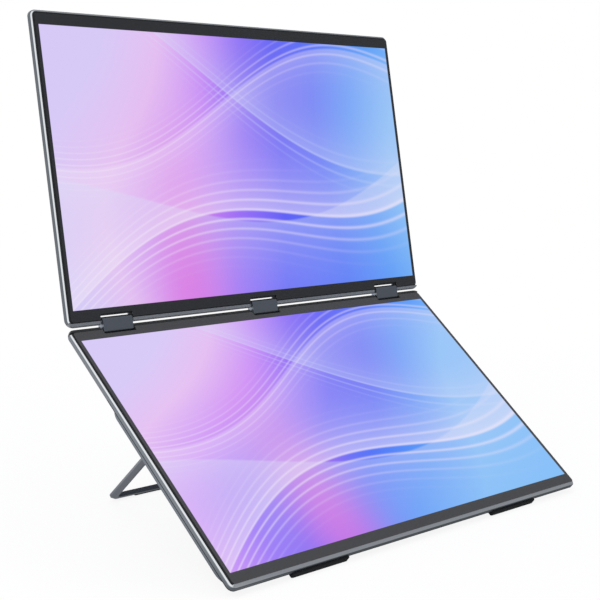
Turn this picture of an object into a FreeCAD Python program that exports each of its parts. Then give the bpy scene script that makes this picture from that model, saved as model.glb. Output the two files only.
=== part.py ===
import FreeCAD, Part
import math
import os
import re
import Sketcher

# Two 15.6 inch screens stacked on a pair of parallel friction shafts, with a fold-out stand behind.
# Millimetres. The floor is Z = 0, +X is the viewer's right and +Y points away from the viewer.
#
# Each screen is drawn lying flat in its own frame: x along the hinge, y away from the hinge shaft,
# z = 0 on the front of the glass and negative going back. Its placement tilts it into the stance.

SIZES = (
    # Stance
    ("lower_tilt", 39.84),
    ("upper_tilt", 79.98),
    # Screen panel
    ("panel_width", 354.0),
    ("panel_height", 213.6),
    ("panel_depth", 6.0),
    ("corner_radius", 4.5),
    ("front_bevel", 2.0),
    ("rim_lip", 0.3),
    ("back_bevel", 1.4),
    ("side_rail", 3.5),
    ("hinge_rail", 8.3),
    ("far_rail", 3.0),
    ("fit_gap", 0.05),
    # Layers behind the glass
    ("glass_thickness", 0.7),
    ("cell_thickness", 1.3),
    ("guide_thickness", 1.4),
    ("tray_thickness", 0.4),
    ("cover_thickness", 1.0),
    ("led_width", 3.3),
    ("layer_gap", 0.1),
    ("board_thickness", 0.8),
    ("chip_height", 0.2),
    ("driver_length", 140.0),
    ("driver_width", 22.0),
    ("driver_inset", 14.0),
    # Hinges
    ("hinge_inset", 40.0),
    ("hinge_length", 25.0),
    ("hinge_radius", 3.0),
    ("hinge_cap", 1.5),
    ("shaft_spacing", 6.0),
    ("shaft_depth", 2.3),
    ("edge_inset", 1.1),
    ("barrel_radius", 1.3),
    ("tang_side", 1.1),
    ("tang_grip", 5.0),
    ("run_gap", 0.05),
    ("clip_reach", 1.9),
    ("clip_height", 3.6),
    ("clip_slit", 0.5),
    ("notch_gap", 1.0),
    ("notch_depth", 6.3),
    ("notch_round", 1.0),
    # Hinge plates let into the back of the hinge rail
    ("plate_length", 12.0),
    ("plate_width", 6.0),
    ("plate_thickness", 1.6),
    ("plate_offset", 0.8),
    ("plate_inset", 1.8),
    # Rear housing of the lower screen
    ("housing_start", 57.9),
    ("housing_side_inset", 1.5),
    ("housing_end_inset", 2.8),
    ("housing_rise", 3.2),
    ("housing_wall", 1.2),
    ("housing_skin", 0.7),
    ("housing_corner", 14.0),
    ("housing_bevel", 0.8),
    # Kickstand and its recess
    ("kick_inset", 78.0),
    ("bar_width", 5.0),
    ("bar_thickness", 3.8),
    ("crossbar_width", 4.6),
    ("kick_corner", 6.0),
    ("kick_sink", 0.2),
    ("pivot_inset", 3.7),
    ("pin_radius", 1.0),
    ("recess_gap", 0.4),
    ("recess_floor_gap", 0.6),
    ("recess_end_wall", 1.0),
    ("channel_wall", 1.2),
    ("channel_floor", 0.5),
    ("finger_length", 22.0),
    ("finger_width", 6.0),
    ("finger_depth", 2.4),
    ("tip_height", 2.35),
    ("tip_bevel", 2.2),
    ("pad_inset", 24.0),
    ("pad_width", 1.6),
    # Front feet
    ("foot_inset", 77.0),
    ("foot_length", 50.0),
    ("foot_proud", 1.6),
    ("foot_start", 4.0),
    ("foot_end", 8.0),
    ("foot_overlap", 2.4),
    ("foot_bite", 0.4),
    # Ports, buttons and speakers
    ("port_depth", 6.28),
    ("port_gap", 0.15),
    ("port_length", 7.5),
    ("port_shell", 0.3),
    ("port_recess", 0.3),
    ("usb_radius", 1.58),
    ("usb_width", 8.94),
    ("usb_first", 95.0),
    ("usb_pitch", 16.0),
    ("hdmi_radius", 1.58),
    ("hdmi_width", 11.2),
    ("hdmi_pitch", 18.0),
    ("button_depth", 7.25),
    ("button_radius", 0.8),
    ("button_proud", 0.6),
    ("button_gap", 0.15),
    ("button_travel", 0.4),
    ("flange_thickness", 0.6),
    ("flange_lip", 0.4),
    ("power_pitch", 21.0),
    ("power_length", 9.0),
    ("rocker_pitch", 22.0),
    ("rocker_length", 18.0),
    ("switch_depth", 3.5),
    ("switch_width", 4.0),
    ("board_inset", 17.1),
    ("board_speaker_gap", 4.0),
    ("board_recess_gap", 12.7),
    ("chip_side", 16.0),
    ("speaker_inset", 48.0),
    ("speaker_length", 28.0),
    ("speaker_width", 12.0),
    ("speaker_height", 4.4),
    ("speaker_end_inset", 14.7),
    ("grille_slot", 1.2),
    ("grille_pitch", 3.0),
)

# Lengths that follow from the sizes, as formulas on their names
DERIVED = {
    "half_width": "panel_width / 2",
    "near_edge": "-edge_inset",
    "far_edge": "panel_height - edge_inset",
    "glass_inset": "front_bevel + rim_lip",
    "glass_side": "half_width - glass_inset",
    "cell_side": "half_width - side_rail - fit_gap",
    "cell_near": "near_edge + hinge_rail + fit_gap",
    "cell_far": "far_edge - far_rail - fit_gap",
    "cell_back": "glass_thickness + cell_thickness",
    "guide_back": "cell_back + guide_thickness",
    "tray_back": "guide_back + tray_thickness",
    "board_front": "tray_back + layer_gap",
    "board_back": "board_front + board_thickness",
    "cover_front": "panel_depth - cover_thickness",
    "hinge_offset": "half_width - hinge_inset",
    "notch_half": "hinge_length / 2 + notch_gap",
    "notch_end": "near_edge + notch_depth",
    "plate_near": "near_edge + plate_inset",
    "plate_front": "cover_front - plate_thickness",
    "back_depth": "panel_depth + housing_rise",
    "housing_side": "half_width - housing_side_inset",
    "housing_end": "far_edge - housing_end_inset",
    "housing_inside": "back_depth - housing_skin",
    "kick_half_width": "half_width - kick_inset",
    "pivot_place": "housing_start + pivot_inset",
    "kick_depth": "back_depth - kick_sink - bar_thickness / 2",
    "recess_floor": "kick_depth - bar_thickness / 2 - recess_floor_gap",
    "channel_front": "recess_floor - channel_floor",
    "recess_start": "pivot_place - bar_thickness / 2 - recess_gap",
    "recess_end": "housing_end - recess_end_wall",
    "recess_outer": "kick_half_width + recess_gap",
    "recess_inner": "kick_half_width - bar_width - recess_gap",
    "recess_cross": "recess_end - crossbar_width - 2 * recess_gap",
    "arm_length": "recess_end - recess_gap - crossbar_width / 2 - pivot_place",
    "stance_height": "(far_edge + foot_proud) * sin(lower_tilt)"
                     " + (foot_end - shaft_depth) * cos(lower_tilt) - foot_bite",
    "pivot_height": "stance_height - pivot_place * sin(lower_tilt)"
                    " - (kick_depth - shaft_depth) * cos(lower_tilt)",
    "leg_slope": "asin((pivot_height - tip_height) / arm_length) / 1 deg",
    "leg_open": "180 - lower_tilt - leg_slope",
    "reach_front": "far_edge * cos(lower_tilt) + (shaft_depth - front_bevel) * sin(lower_tilt)",
    "reach_back": "arm_length * cos(leg_slope) + crossbar_width / 2 * cos(leg_slope)"
                  " + bar_thickness / 2 * sin(leg_slope)"
                  " - pivot_place * cos(lower_tilt) + (kick_depth - shaft_depth) * sin(lower_tilt)",
    "shaft_place": "(reach_front - reach_back) / 2",
    "facet_distance": "(crossbar_width / 2 + bar_thickness / 2 - tip_bevel) * cos(45)",
    "pad_reach": "kick_half_width - pad_inset",
    "foot_offset": "half_width - foot_inset",
    "usb_second": "usb_first + usb_pitch",
    "hdmi_place": "usb_second + hdmi_pitch",
    "power_place": "hdmi_place + power_pitch",
    "rocker_place": "power_place + rocker_pitch",
    "speaker_offset": "half_width - speaker_inset",
    "speaker_place": "housing_end - speaker_end_inset",
    "main_board_start": "housing_start + board_inset",
    "main_board_end": "speaker_place - speaker_width / 2 - board_speaker_gap",
    "main_board_outside": "cell_side - layer_gap",
    "main_board_inside": "recess_outer + channel_wall + board_recess_gap",
    "wall_inside": "housing_side - housing_wall",
    "button_out": "housing_side + button_proud",
    "flange_out": "wall_inside - layer_gap",
    "flange_in": "flange_out - flange_thickness",
    "switch_out": "flange_in - button_travel - layer_gap",
}

DOCUMENT = FreeCAD.newDocument("screen_extender")
SHEET = DOCUMENT.addObject("Spreadsheet::Sheet", "Sizes")
ALIASES = [name for name, size in SIZES]
WORD = re.compile(r"[a-z]+(?:_[a-z]+)*")

AXIS_X = "vector(1; 0; 0)"
AXIS_Z = "vector(0; 0; 1)"
HINGE_SIDES = (("left", -1), ("centre", 0), ("right", 1))


def fill_sheet():
    """Write each size and its name into the sheet."""
    for row, (name, size) in enumerate(SIZES, start=1):
        SHEET.set("A%d" % row, name)
        SHEET.set("B%d" % row, str(size))
        SHEET.setAlias("B%d" % row, name)
    DOCUMENT.recompute()


def formula(text):
    """Turn a formula on the names above into one on the sheet's cells."""
    def spell(match):
        word = match.group(0)
        if word in DERIVED:
            return "(" + formula(DERIVED[word]) + ")"
        if word in ALIASES:
            return "Sizes." + word
        return word
    return WORD.sub(spell, str(text))


def number(text):
    """Work out a formula as a plain number."""
    result = SHEET.evalExpression(formula(text))
    return float(getattr(result, "Value", result))


def new_body(label, placement):
    """Start a sub-part, placed by a formula."""
    body = DOCUMENT.addObject("PartDesign::Body", label)
    body.Label = label
    body.AllowCompound = True
    body.setExpression("Placement", formula(placement))
    return body


def new_sketch(body, role, offset):
    """Start a sketch parallel to one of the body's own planes."""
    sketch = body.newObject("Sketcher::SketchObject", "Sketch")
    plane = [item for item in body.Origin.OriginFeatures if item.Role == role][0]
    sketch.AttachmentSupport = [(plane, "")]
    sketch.MapMode = "FlatFace"
    sketch.setExpression("AttachmentOffset.Base.z", formula(offset))
    return sketch


def constrain(sketch, text, *constraint):
    """Add a dimension that follows a formula."""
    size = number(text)
    index = sketch.addConstraint(Sketcher.Constraint(*constraint, size))
    sketch.setExpression("Constraints[%d]" % index, formula(text))


def draw_rectangle(sketch, left, right, low, high):
    """Draw a rectangle between four formulas."""
    first = sketch.GeometryCount
    x_low, x_high, y_low, y_high = [number(side) for side in (left, right, low, high)]
    corners = [
        FreeCAD.Vector(x_low, y_low, 0),
        FreeCAD.Vector(x_high, y_low, 0),
        FreeCAD.Vector(x_high, y_high, 0),
        FreeCAD.Vector(x_low, y_high, 0),
    ]
    for index in range(4):
        sketch.addGeometry(Part.LineSegment(corners[index], corners[(index + 1) % 4]), False)
    for index in range(4):
        following = first + (index + 1) % 4
        sketch.addConstraint(Sketcher.Constraint("Coincident", first + index, 2, following, 1))
        way = "Vertical" if index % 2 else "Horizontal"
        sketch.addConstraint(Sketcher.Constraint(way, first + index))
    constrain(sketch, left, "DistanceX", -1, 1, first, 1)
    constrain(sketch, low, "DistanceY", -1, 1, first, 1)
    constrain(sketch, right, "DistanceX", -1, 1, first + 2, 1)
    constrain(sketch, high, "DistanceY", -1, 1, first + 2, 1)


def draw_rounded(sketch, left, right, low, high, radius):
    """Draw a rectangle with round corners."""
    first = sketch.GeometryCount
    x_low, x_high, y_low, y_high, size = [number(text) for text in (left, right, low, high, radius)]
    normal = FreeCAD.Vector(0, 0, 1)
    quarter = math.pi / 2
    corners = ((x_low, y_low, 1, 1), (x_high, y_low, -1, 1),
               (x_high, y_high, -1, -1), (x_low, y_high, 1, -1))
    for index, (x, y, inward_x, inward_y) in enumerate(corners):
        centre = FreeCAD.Vector(x + inward_x * size, y + inward_y * size, 0)
        start = (index + 2) * quarter
        circle = Part.Circle(centre, normal, size)
        sketch.addGeometry(Part.ArcOfCircle(circle, start, start + quarter), False)
    for index in range(4):
        leave = sketch.Geometry[first + index].EndPoint
        arrive = sketch.Geometry[first + (index + 1) % 4].StartPoint
        sketch.addGeometry(Part.LineSegment(leave, arrive), False)
    for index in range(4):
        arc = first + index
        line = first + 4 + index
        sketch.addConstraint(Sketcher.Constraint("Tangent", arc, 2, line, 1))
        sketch.addConstraint(Sketcher.Constraint("Tangent", line, 2, first + (index + 1) % 4, 1))
        way = "Vertical" if index % 2 else "Horizontal"
        sketch.addConstraint(Sketcher.Constraint(way, line))
        if index:
            sketch.addConstraint(Sketcher.Constraint("Equal", first, arc))
    constrain(sketch, radius, "Radius", first)
    constrain(sketch, low, "DistanceY", -1, 1, first + 4, 1)
    constrain(sketch, right, "DistanceX", -1, 1, first + 5, 1)
    constrain(sketch, high, "DistanceY", -1, 1, first + 6, 1)
    constrain(sketch, left, "DistanceX", -1, 1, first + 7, 1)


def draw_circle(sketch, across, up, radius):
    """Draw a circle."""
    centre = FreeCAD.Vector(number(across), number(up), 0)
    normal = FreeCAD.Vector(0, 0, 1)
    index = sketch.addGeometry(Part.Circle(centre, normal, number(radius)), False)
    constrain(sketch, radius, "Radius", index)
    constrain(sketch, across, "DistanceX", -1, 1, index, 3)
    constrain(sketch, up, "DistanceY", -1, 1, index, 3)


def draw_capsule(sketch, start, end, up, radius):
    """Draw a level slot outline with round ends about start and end."""
    first = sketch.GeometryCount
    left, right, level, size = [number(text) for text in (start, end, up, radius)]
    normal = FreeCAD.Vector(0, 0, 1)
    quarter = math.pi / 2
    left_circle = Part.Circle(FreeCAD.Vector(left, level, 0), normal, size)
    right_circle = Part.Circle(FreeCAD.Vector(right, level, 0), normal, size)
    sketch.addGeometry(Part.ArcOfCircle(left_circle, quarter, 3 * quarter), False)
    sketch.addGeometry(Part.ArcOfCircle(right_circle, -quarter, quarter), False)
    bottom = (FreeCAD.Vector(left, level - size, 0), FreeCAD.Vector(right, level - size, 0))
    top = (FreeCAD.Vector(right, level + size, 0), FreeCAD.Vector(left, level + size, 0))
    sketch.addGeometry(Part.LineSegment(*bottom), False)
    sketch.addGeometry(Part.LineSegment(*top), False)
    joins = ((0, 2, 2, 1), (2, 2, 1, 1), (1, 2, 3, 1), (3, 2, 0, 1))
    for one, one_end, other, other_end in joins:
        sketch.addConstraint(
            Sketcher.Constraint("Tangent", first + one, one_end, first + other, other_end))
    sketch.addConstraint(Sketcher.Constraint("Equal", first, first + 1))
    constrain(sketch, radius, "Radius", first)
    constrain(sketch, start, "DistanceX", -1, 1, first, 3)
    constrain(sketch, up, "DistanceY", -1, 1, first, 3)
    constrain(sketch, end, "DistanceX", -1, 1, first + 1, 3)


def add(body, kind, sketch, length):
    """Pad a sketch along its normal, or pocket the body against it."""
    feature = body.newObject("PartDesign::" + kind, kind)
    feature.Profile = sketch
    feature.setExpression("Length", formula(length))
    sketch.Visibility = False
    return feature


def pad(body, low, thickness, rectangles):
    """Add plates of one thickness whose lower side is at z = low."""
    sketch = new_sketch(body, "XY_Plane", low)
    for sides in rectangles:
        draw_rectangle(sketch, *sides)
    return add(body, "Pad", sketch, thickness)


def pocket(body, high, depth, rectangles):
    """Cut rectangular pockets down from z = high."""
    sketch = new_sketch(body, "XY_Plane", high)
    for sides in rectangles:
        draw_rectangle(sketch, *sides)
    return add(body, "Pocket", sketch, depth)


def pad_across(body, start, length, shape, *sizes):
    """Add a bar that runs along x from start, with a section drawn by shape."""
    sketch = new_sketch(body, "YZ_Plane", start)
    shape(sketch, *sizes)
    return add(body, "Pad", sketch, length)


def pocket_across(body, end, length, shape, *sizes):
    """Cut a hole along x that ends at x = end, with a section drawn by shape."""
    sketch = new_sketch(body, "YZ_Plane", end)
    shape(sketch, *sizes)
    return add(body, "Pocket", sketch, length)


def pick_edges(feature, wanted):
    """Name the edges of a feature for which wanted(middle, direction) holds."""
    DOCUMENT.recompute()
    names = []
    for index, edge in enumerate(feature.Shape.Edges, start=1):
        middle = edge.CenterOfMass
        direction = edge.tangentAt(edge.FirstParameter)
        if wanted(middle, direction):
            names.append("Edge%d" % index)
    return names


def soften(body, kind, base, size, wanted):
    """Fillet or chamfer the wanted edges of the last feature."""
    names = pick_edges(base, wanted)
    feature = body.newObject("PartDesign::" + kind, kind)
    feature.Base = (base, names)
    size_name = "Radius" if kind == "Fillet" else "Size"
    feature.setExpression(size_name, formula(size))
    return feature


def upright(direction):
    """Tell whether a direction is along z."""
    return abs(direction.z) > 0.99


def near(one, other, reach=0.02):
    """Tell whether two lengths are the same."""
    return abs(one - other) < reach


def lower_place():
    """Placement of what is drawn in the lower screen's frame."""
    return ("placement(vector(0; shaft_place - shaft_depth * sin(lower_tilt);"
            " stance_height + shaft_depth * cos(lower_tilt));"
            " rotation(%s; lower_tilt) * rotation(%s; 180))" % (AXIS_X, AXIS_Z))


def upper_place():
    """Placement of what is drawn in the upper screen's frame."""
    return ("placement(vector(0;"
            " shaft_place + shaft_spacing * cos(upper_tilt) - shaft_depth * sin(upper_tilt);"
            " stance_height + shaft_spacing * sin(upper_tilt) + shaft_depth * cos(upper_tilt));"
            " rotation(%s; upper_tilt))" % AXIS_X)


def link_place():
    """Placement of a hinge link: its frame's origin is on the lower shaft."""
    return ("placement(vector(0; shaft_place; stance_height);"
            " rotation(%s; upper_tilt))" % AXIS_X)


def kick_turn():
    """Rotation of the opened kickstand."""
    return ("rotation(%s; lower_tilt) * rotation(%s; 180) * rotation(%s; -leg_open)"
            % (AXIS_X, AXIS_Z, AXIS_X))


def kick_place():
    """Placement of the kickstand: its frame's origin is on the pivot axis."""
    return ("placement(vector(0; shaft_place - pivot_place * cos(lower_tilt)"
            " + (kick_depth - shaft_depth) * sin(lower_tilt); pivot_height); %s)" % kick_turn())


def pad_place():
    """Placement of the kickstand's pad: y leads out through the crossbar's bevelled corner."""
    return ("placement(vector(0; shaft_place - pivot_place * cos(lower_tilt)"
            " + (kick_depth - shaft_depth) * sin(lower_tilt) + arm_length * cos(leg_slope);"
            " pivot_height - arm_length * sin(leg_slope)); %s * rotation(%s; 45))"
            % (kick_turn(), AXIS_X))


def hinge_centre(side):
    """Formula for a hinge's middle."""
    return "(%d * hinge_offset)" % side


def notch_rectangles():
    """The three notches along the hinge edge."""
    notches = []
    for name, side in HINGE_SIDES:
        centre = hinge_centre(side)
        notches.append((centre + " - notch_half", centre + " + notch_half",
                        "near_edge - front_bevel", "notch_end"))
    return notches


def plate_spans(inset="0"):
    """The two plates beside each notch, as spans along x."""
    spans = []
    for name, side in HINGE_SIDES:
        for way in (-1, 1):
            start = "%s + %d * (notch_half + plate_offset)" % (hinge_centre(side), way)
            end = "%s + %d * plate_length" % (start, way)
            ends = (end, start) if way < 0 else (start, end)
            spans.append((ends[0] + " - " + inset, ends[1] + " + " + inset))
    return spans


def tang_section(gap):
    """The square section of a shaft's tangs, or of the frame's sockets for them."""
    half = "tang_side / 2 + " + gap
    return (draw_rectangle, "-(%s)" % half, half,
            "-shaft_depth - (%s)" % half, "-shaft_depth + (%s)" % half)


def build_frame(prefix, place, cover_end):
    """Bevelled aluminium ring with hinge notches, shaft sockets and plate pockets."""
    body = new_body(prefix + "_frame", place)
    outline = ("-half_width", "half_width", "near_edge", "far_edge")
    base = pad(body, "-panel_depth", "panel_depth", [outline])
    base = soften(body, "Fillet", base, "corner_radius",
                  lambda middle, direction: upright(direction))
    base = soften(body, "Chamfer", base, "front_bevel",
                  lambda middle, direction: near(middle.z, 0))
    back = -number("panel_depth")
    soften(body, "Chamfer", base, "back_bevel",
           lambda middle, direction: near(middle.z, back))
    seat = new_sketch(body, "XY_Plane", "0")
    draw_rounded(seat, "-glass_side", "glass_side", "near_edge + glass_inset", "far_edge - glass_inset",
                 "corner_radius - glass_inset")
    add(body, "Pocket", seat, "glass_thickness")
    pocket(body, "0", "panel_depth",
           [("side_rail - half_width", "half_width - side_rail",
             "near_edge + hinge_rail", "far_edge - far_rail")])
    pocket(body, "-cover_front", "cover_thickness",
           [("-glass_side", "glass_side", "near_edge + back_bevel + rim_lip", cover_end)])
    base = pocket(body, "0", "panel_depth", notch_rectangles())
    bottom = number("notch_end")
    soften(body, "Fillet", base, "notch_round",
           lambda middle, direction: upright(direction) and near(middle.y, bottom))
    pocket(body, "-plate_front", "panel_depth - plate_front",
           [(start, end, "plate_near - fit_gap", "plate_near + plate_width + fit_gap")
            for start, end in plate_spans("fit_gap")])
    for name, side in HINGE_SIDES:
        pocket_across(body, hinge_centre(side) + " + notch_half + tang_grip",
                      "2 * (notch_half + tang_grip)", *tang_section("fit_gap"))
    return body


def build_glass(prefix, place):
    """Cover glass, notched for the hinges."""
    body = new_body(prefix + "_cover_glass", place)
    outline = new_sketch(body, "XY_Plane", "-glass_thickness")
    draw_rounded(outline, "fit_gap - glass_side", "glass_side - fit_gap",
                 "near_edge + glass_inset + fit_gap", "far_edge - glass_inset - fit_gap",
                 "corner_radius - glass_inset")
    add(body, "Pad", outline, "glass_thickness")
    base = pocket(body, "0", "glass_thickness", notch_rectangles())
    bottom = number("notch_end")
    soften(body, "Fillet", base, "notch_round",
           lambda middle, direction: upright(direction) and near(middle.y, bottom))
    return body


def build_plate(label, place, front, thickness, *rectangles):
    """A flat layer, or several in one plane."""
    body = new_body(label, place)
    pad(body, "-(%s) - (%s)" % (front, thickness), thickness, rectangles)
    return body


def build_layers(prefix, place):
    """The display's layers from the glass back."""
    cell = ("-cell_side", "cell_side", "cell_near", "cell_far")
    guide = ("-cell_side", "cell_side", "cell_near", "cell_far - led_width - layer_gap")
    strip = ("-cell_side", "cell_side", "cell_far - led_width", "cell_far")
    return [
        build_plate(prefix + "_lcd_panel", place, "glass_thickness", "cell_thickness", cell),
        build_plate(prefix + "_light_guide", place, "cell_back", "guide_thickness", guide),
        build_plate(prefix + "_led_strip", place, "cell_back", "guide_thickness", strip),
        build_plate(prefix + "_backlight_tray", place, "guide_back", "tray_thickness", cell),
        build_driver_board(prefix, place),
    ]


def build_driver_board(prefix, place):
    """Thin board behind the tray with a chip and two connectors."""
    body = new_body(prefix + "_driver_board", place)
    far = "far_edge - driver_inset"
    near_side = far + " - driver_width"
    connector_end = near_side + " + driver_width / 4"
    pad(body, "-board_back", "board_thickness",
        [("-driver_length / 2", "driver_length / 2", near_side, far)])
    pad(body, "-board_back - chip_height", "chip_height",
        [("-driver_width / 4", "driver_width / 4", connector_end, far + " - driver_width / 4"),
         ("-driver_length / 2", "driver_width - driver_length / 2", near_side, connector_end),
         ("driver_length / 2 - driver_width", "driver_length / 2", near_side, connector_end)])
    return body


def build_back_cover(prefix, place, cover_end):
    """Thin back plate, let in flush and notched for the hinges."""
    body = new_body(prefix + "_back_cover", place)
    outline = ("fit_gap - glass_side", "glass_side - fit_gap",
               "near_edge + back_bevel + rim_lip + fit_gap", cover_end + " - fit_gap")
    pad(body, "-panel_depth", "cover_thickness", [outline])
    pocket(body, "-cover_front", "cover_thickness", notch_rectangles())
    return body


def build_hinge_plates(prefix, place):
    """Steel plates beside the notches that stiffen the rail at the shaft ends."""
    body = new_body(prefix + "_hinge_plates", place)
    pad(body, "-cover_front", "plate_thickness",
        [(start, end, "plate_near", "plate_near + plate_width") for start, end in plate_spans()])
    return body


def build_shaft(prefix, name, side, place):
    """Friction shaft: a round barrel inside the link, square tangs keyed in the frame's sockets."""
    body = new_body("%s_hinge_shaft_%s" % (prefix, name), place)
    centre = hinge_centre(side)
    barrel = "hinge_length / 2 + notch_gap / 2"
    tang = "notch_half + tang_grip - layer_gap"
    pad_across(body, "%s - (%s)" % (centre, barrel), "2 * (%s)" % barrel,
               draw_circle, "0", "-shaft_depth", "barrel_radius")
    for start in ("%s - (%s)" % (centre, tang), "%s + %s" % (centre, barrel)):
        pad_across(body, start, "%s - (%s)" % (tang, barrel), *tang_section("0"))
    return body


def bore_for_shafts(body, side, half_length):
    """Cut both shafts' running bores through a link's piece."""
    for along in ("0", "shaft_spacing"):
        pocket_across(body, "%s + (%s)" % (hinge_centre(side), half_length), "2 * (%s)" % half_length,
                      draw_circle, along, "0", "barrel_radius + run_gap")


def clip_section(gap):
    """The section of a link's clip pack, or of the sleeve's hollow for it."""
    reach = "clip_reach + " + gap
    rise = "clip_height / 2 + " + gap
    return (draw_rectangle, "-(%s)" % reach, "shaft_spacing + " + reach, "-(%s)" % rise, rise)


def build_link(name, side):
    """Hinge link: a capsule sleeve with bored ends, and the friction clips inside."""
    centre = hinge_centre(side)
    half = "hinge_length / 2"
    hollow = "hinge_length / 2 - hinge_cap"
    cover = new_body("hinge_cover_" + name, link_place())
    pad_across(cover, "%s - %s" % (centre, half), "hinge_length",
               draw_capsule, "0", "shaft_spacing", "0", "hinge_radius")
    pocket_across(cover, "%s + %s" % (centre, hollow), "2 * (%s)" % hollow, *clip_section("fit_gap"))
    bore_for_shafts(cover, side, half)

    clips = new_body("hinge_friction_clips_" + name, link_place())
    clip_half = hollow + " - layer_gap"
    pad_across(clips, "%s - (%s)" % (centre, clip_half), "2 * (%s)" % clip_half, *clip_section("0"))
    bore_for_shafts(clips, side, clip_half)
    for along, low, high in (("0", "-clip_height", "0"), ("shaft_spacing", "0", "clip_height")):
        pocket_across(clips, "%s + (%s)" % (centre, clip_half), "2 * (%s)" % clip_half, draw_rectangle,
                      along + " - clip_slit / 2", along + " + clip_slit / 2", low, high)
    return [cover, clips]


def build_screen(prefix, place, cover_end):
    """Everything that both screens have."""
    parts = [
        build_frame(prefix, place, cover_end),
        build_glass(prefix, place),
        build_back_cover(prefix, place, cover_end),
        build_hinge_plates(prefix, place),
    ]
    parts += build_layers(prefix, place)
    parts += [build_shaft(prefix, name, side, place) for name, side in HINGE_SIDES]
    return parts


def port_spans():
    """Each port as its middle along the side, its width and its section radius."""
    return (("usb_first", "usb_width", "usb_radius"),
            ("usb_second", "usb_width", "usb_radius"),
            ("hdmi_place", "hdmi_width", "hdmi_radius"))


def relieve_ports(frame):
    """Open the lower frame's back rim behind the ports."""
    pocket(frame, "-port_depth + usb_radius + port_gap", "panel_depth",
           [("-half_width - port_gap", "side_rail - half_width",
             "%s - %s / 2 - port_gap" % (middle, width), "%s + %s / 2 + port_gap" % (middle, width))
            for middle, width, radius in port_spans()])


def build_housing():
    """Moulded rear housing with the kickstand's recess, ports, button slots and speaker grilles."""
    body = new_body("rear_housing", lower_place())
    outline = ("-housing_side", "housing_side", "housing_start", "housing_end")
    base = pad(body, "-back_depth", "housing_rise", [outline])
    base = soften(body, "Fillet", base, "housing_corner",
                  lambda middle, direction: upright(direction))
    back = -number("back_depth")
    soften(body, "Chamfer", base, "housing_bevel",
           lambda middle, direction: near(middle.z, back))
    hollow = new_sketch(body, "XY_Plane", "-panel_depth")
    draw_rounded(hollow, "-wall_inside", "wall_inside", "housing_start + housing_wall",
                 "housing_end - housing_wall", "housing_corner - housing_wall")
    add(body, "Pocket", hollow, "housing_inside - panel_depth")
    pad(body, "-panel_depth - housing_wall", "panel_depth + housing_wall - channel_front",
        [("-cell_side", "cell_side", "housing_start", "housing_start + housing_wall")])
    outer = "recess_outer + channel_wall"
    channel = ("-(%s)" % outer, outer, "recess_start - channel_wall", "cell_far")
    pad(body, "-housing_inside", "housing_inside - channel_front", [channel])
    inner = "recess_inner - channel_wall"
    pocket(body, "-channel_front", "housing_inside - channel_front",
           [("-(%s)" % inner, inner, "housing_start + housing_wall", "recess_cross - channel_wall")])
    cut_recess(body)
    cut_finger_well(body)
    cut_side_openings(body)
    cut_grilles(body)
    return body


def cut_recess(body):
    """Cut the U-shaped recess for the stowed kickstand, its finger notch and its pin holes."""
    recess = "back_depth - recess_floor"
    pocket(body, "-recess_floor", recess,
           [("-recess_outer", "-recess_inner", "recess_start", "recess_end"),
            ("recess_inner", "recess_outer", "recess_start", "recess_end")])
    pocket(body, "-recess_floor", recess,
           [("-recess_inner", "recess_inner", "recess_cross", "recess_end")])
    corner = number("recess_inner")
    inner_end = number("recess_cross")
    base = body.Tip
    soften(body, "Fillet", base, "kick_corner / 2",
           lambda middle, direction: upright(direction) and near(abs(middle.x), corner)
           and near(middle.y, inner_end))
    pin_reach = "recess_outer + channel_wall - layer_gap"
    pin_start = "recess_inner - channel_wall + layer_gap"
    for end, length in ((pin_reach, "(%s) - (%s)" % (pin_reach, pin_start)),
                        ("-(%s)" % pin_start, "(%s) - (%s)" % (pin_reach, pin_start))):
        pocket_across(body, end, length, draw_circle, "pivot_place", "-kick_depth", "pin_radius + run_gap")


def cut_finger_well(body):
    """Sink a small well beside the crossbar, where a finger lifts the stowed kickstand."""
    near_side = "recess_cross - channel_wall - finger_width"
    pad(body, "-housing_inside", "finger_depth",
        [("-finger_length / 2 - channel_wall", "finger_length / 2 + channel_wall",
          near_side + " - channel_wall", "recess_cross - channel_wall / 2")])
    pocket(body, "finger_depth - back_depth", "finger_depth",
           [("-finger_length / 2", "finger_length / 2", near_side, "recess_cross + recess_gap")])


def cut_side_openings(body):
    """Cut the port and button openings through the housing's side wall."""
    openings = [(middle, width, radius, "port_depth", "port_gap") for middle, width, radius in port_spans()]
    openings.append(("power_place", "power_length", "button_radius", "button_depth", "button_gap"))
    openings.append(("rocker_place", "rocker_length", "button_radius", "button_depth", "button_gap"))
    for middle, width, radius, depth, gap in openings:
        pocket_across(body, "layer_gap - wall_inside", "housing_wall + 2 * layer_gap", draw_capsule,
                      "%s - %s / 2 + %s" % (middle, width, radius),
                      "%s + %s / 2 - %s" % (middle, width, radius),
                      "-" + depth, "%s + %s" % (radius, gap))


def cut_grilles(body):
    """Cut a row of slots over each speaker."""
    slots = []
    for way in (-1, 1):
        for step in (-3, -2, -1, 0, 1, 2, 3):
            middle = "%d * speaker_offset + %d * grille_pitch" % (way, step)
            slots.append((middle + " - grille_slot / 2", middle + " + grille_slot / 2",
                          "speaker_place - speaker_width / 3", "speaker_place + speaker_width / 3"))
    pocket(body, "-housing_inside", "housing_skin", slots)


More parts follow.
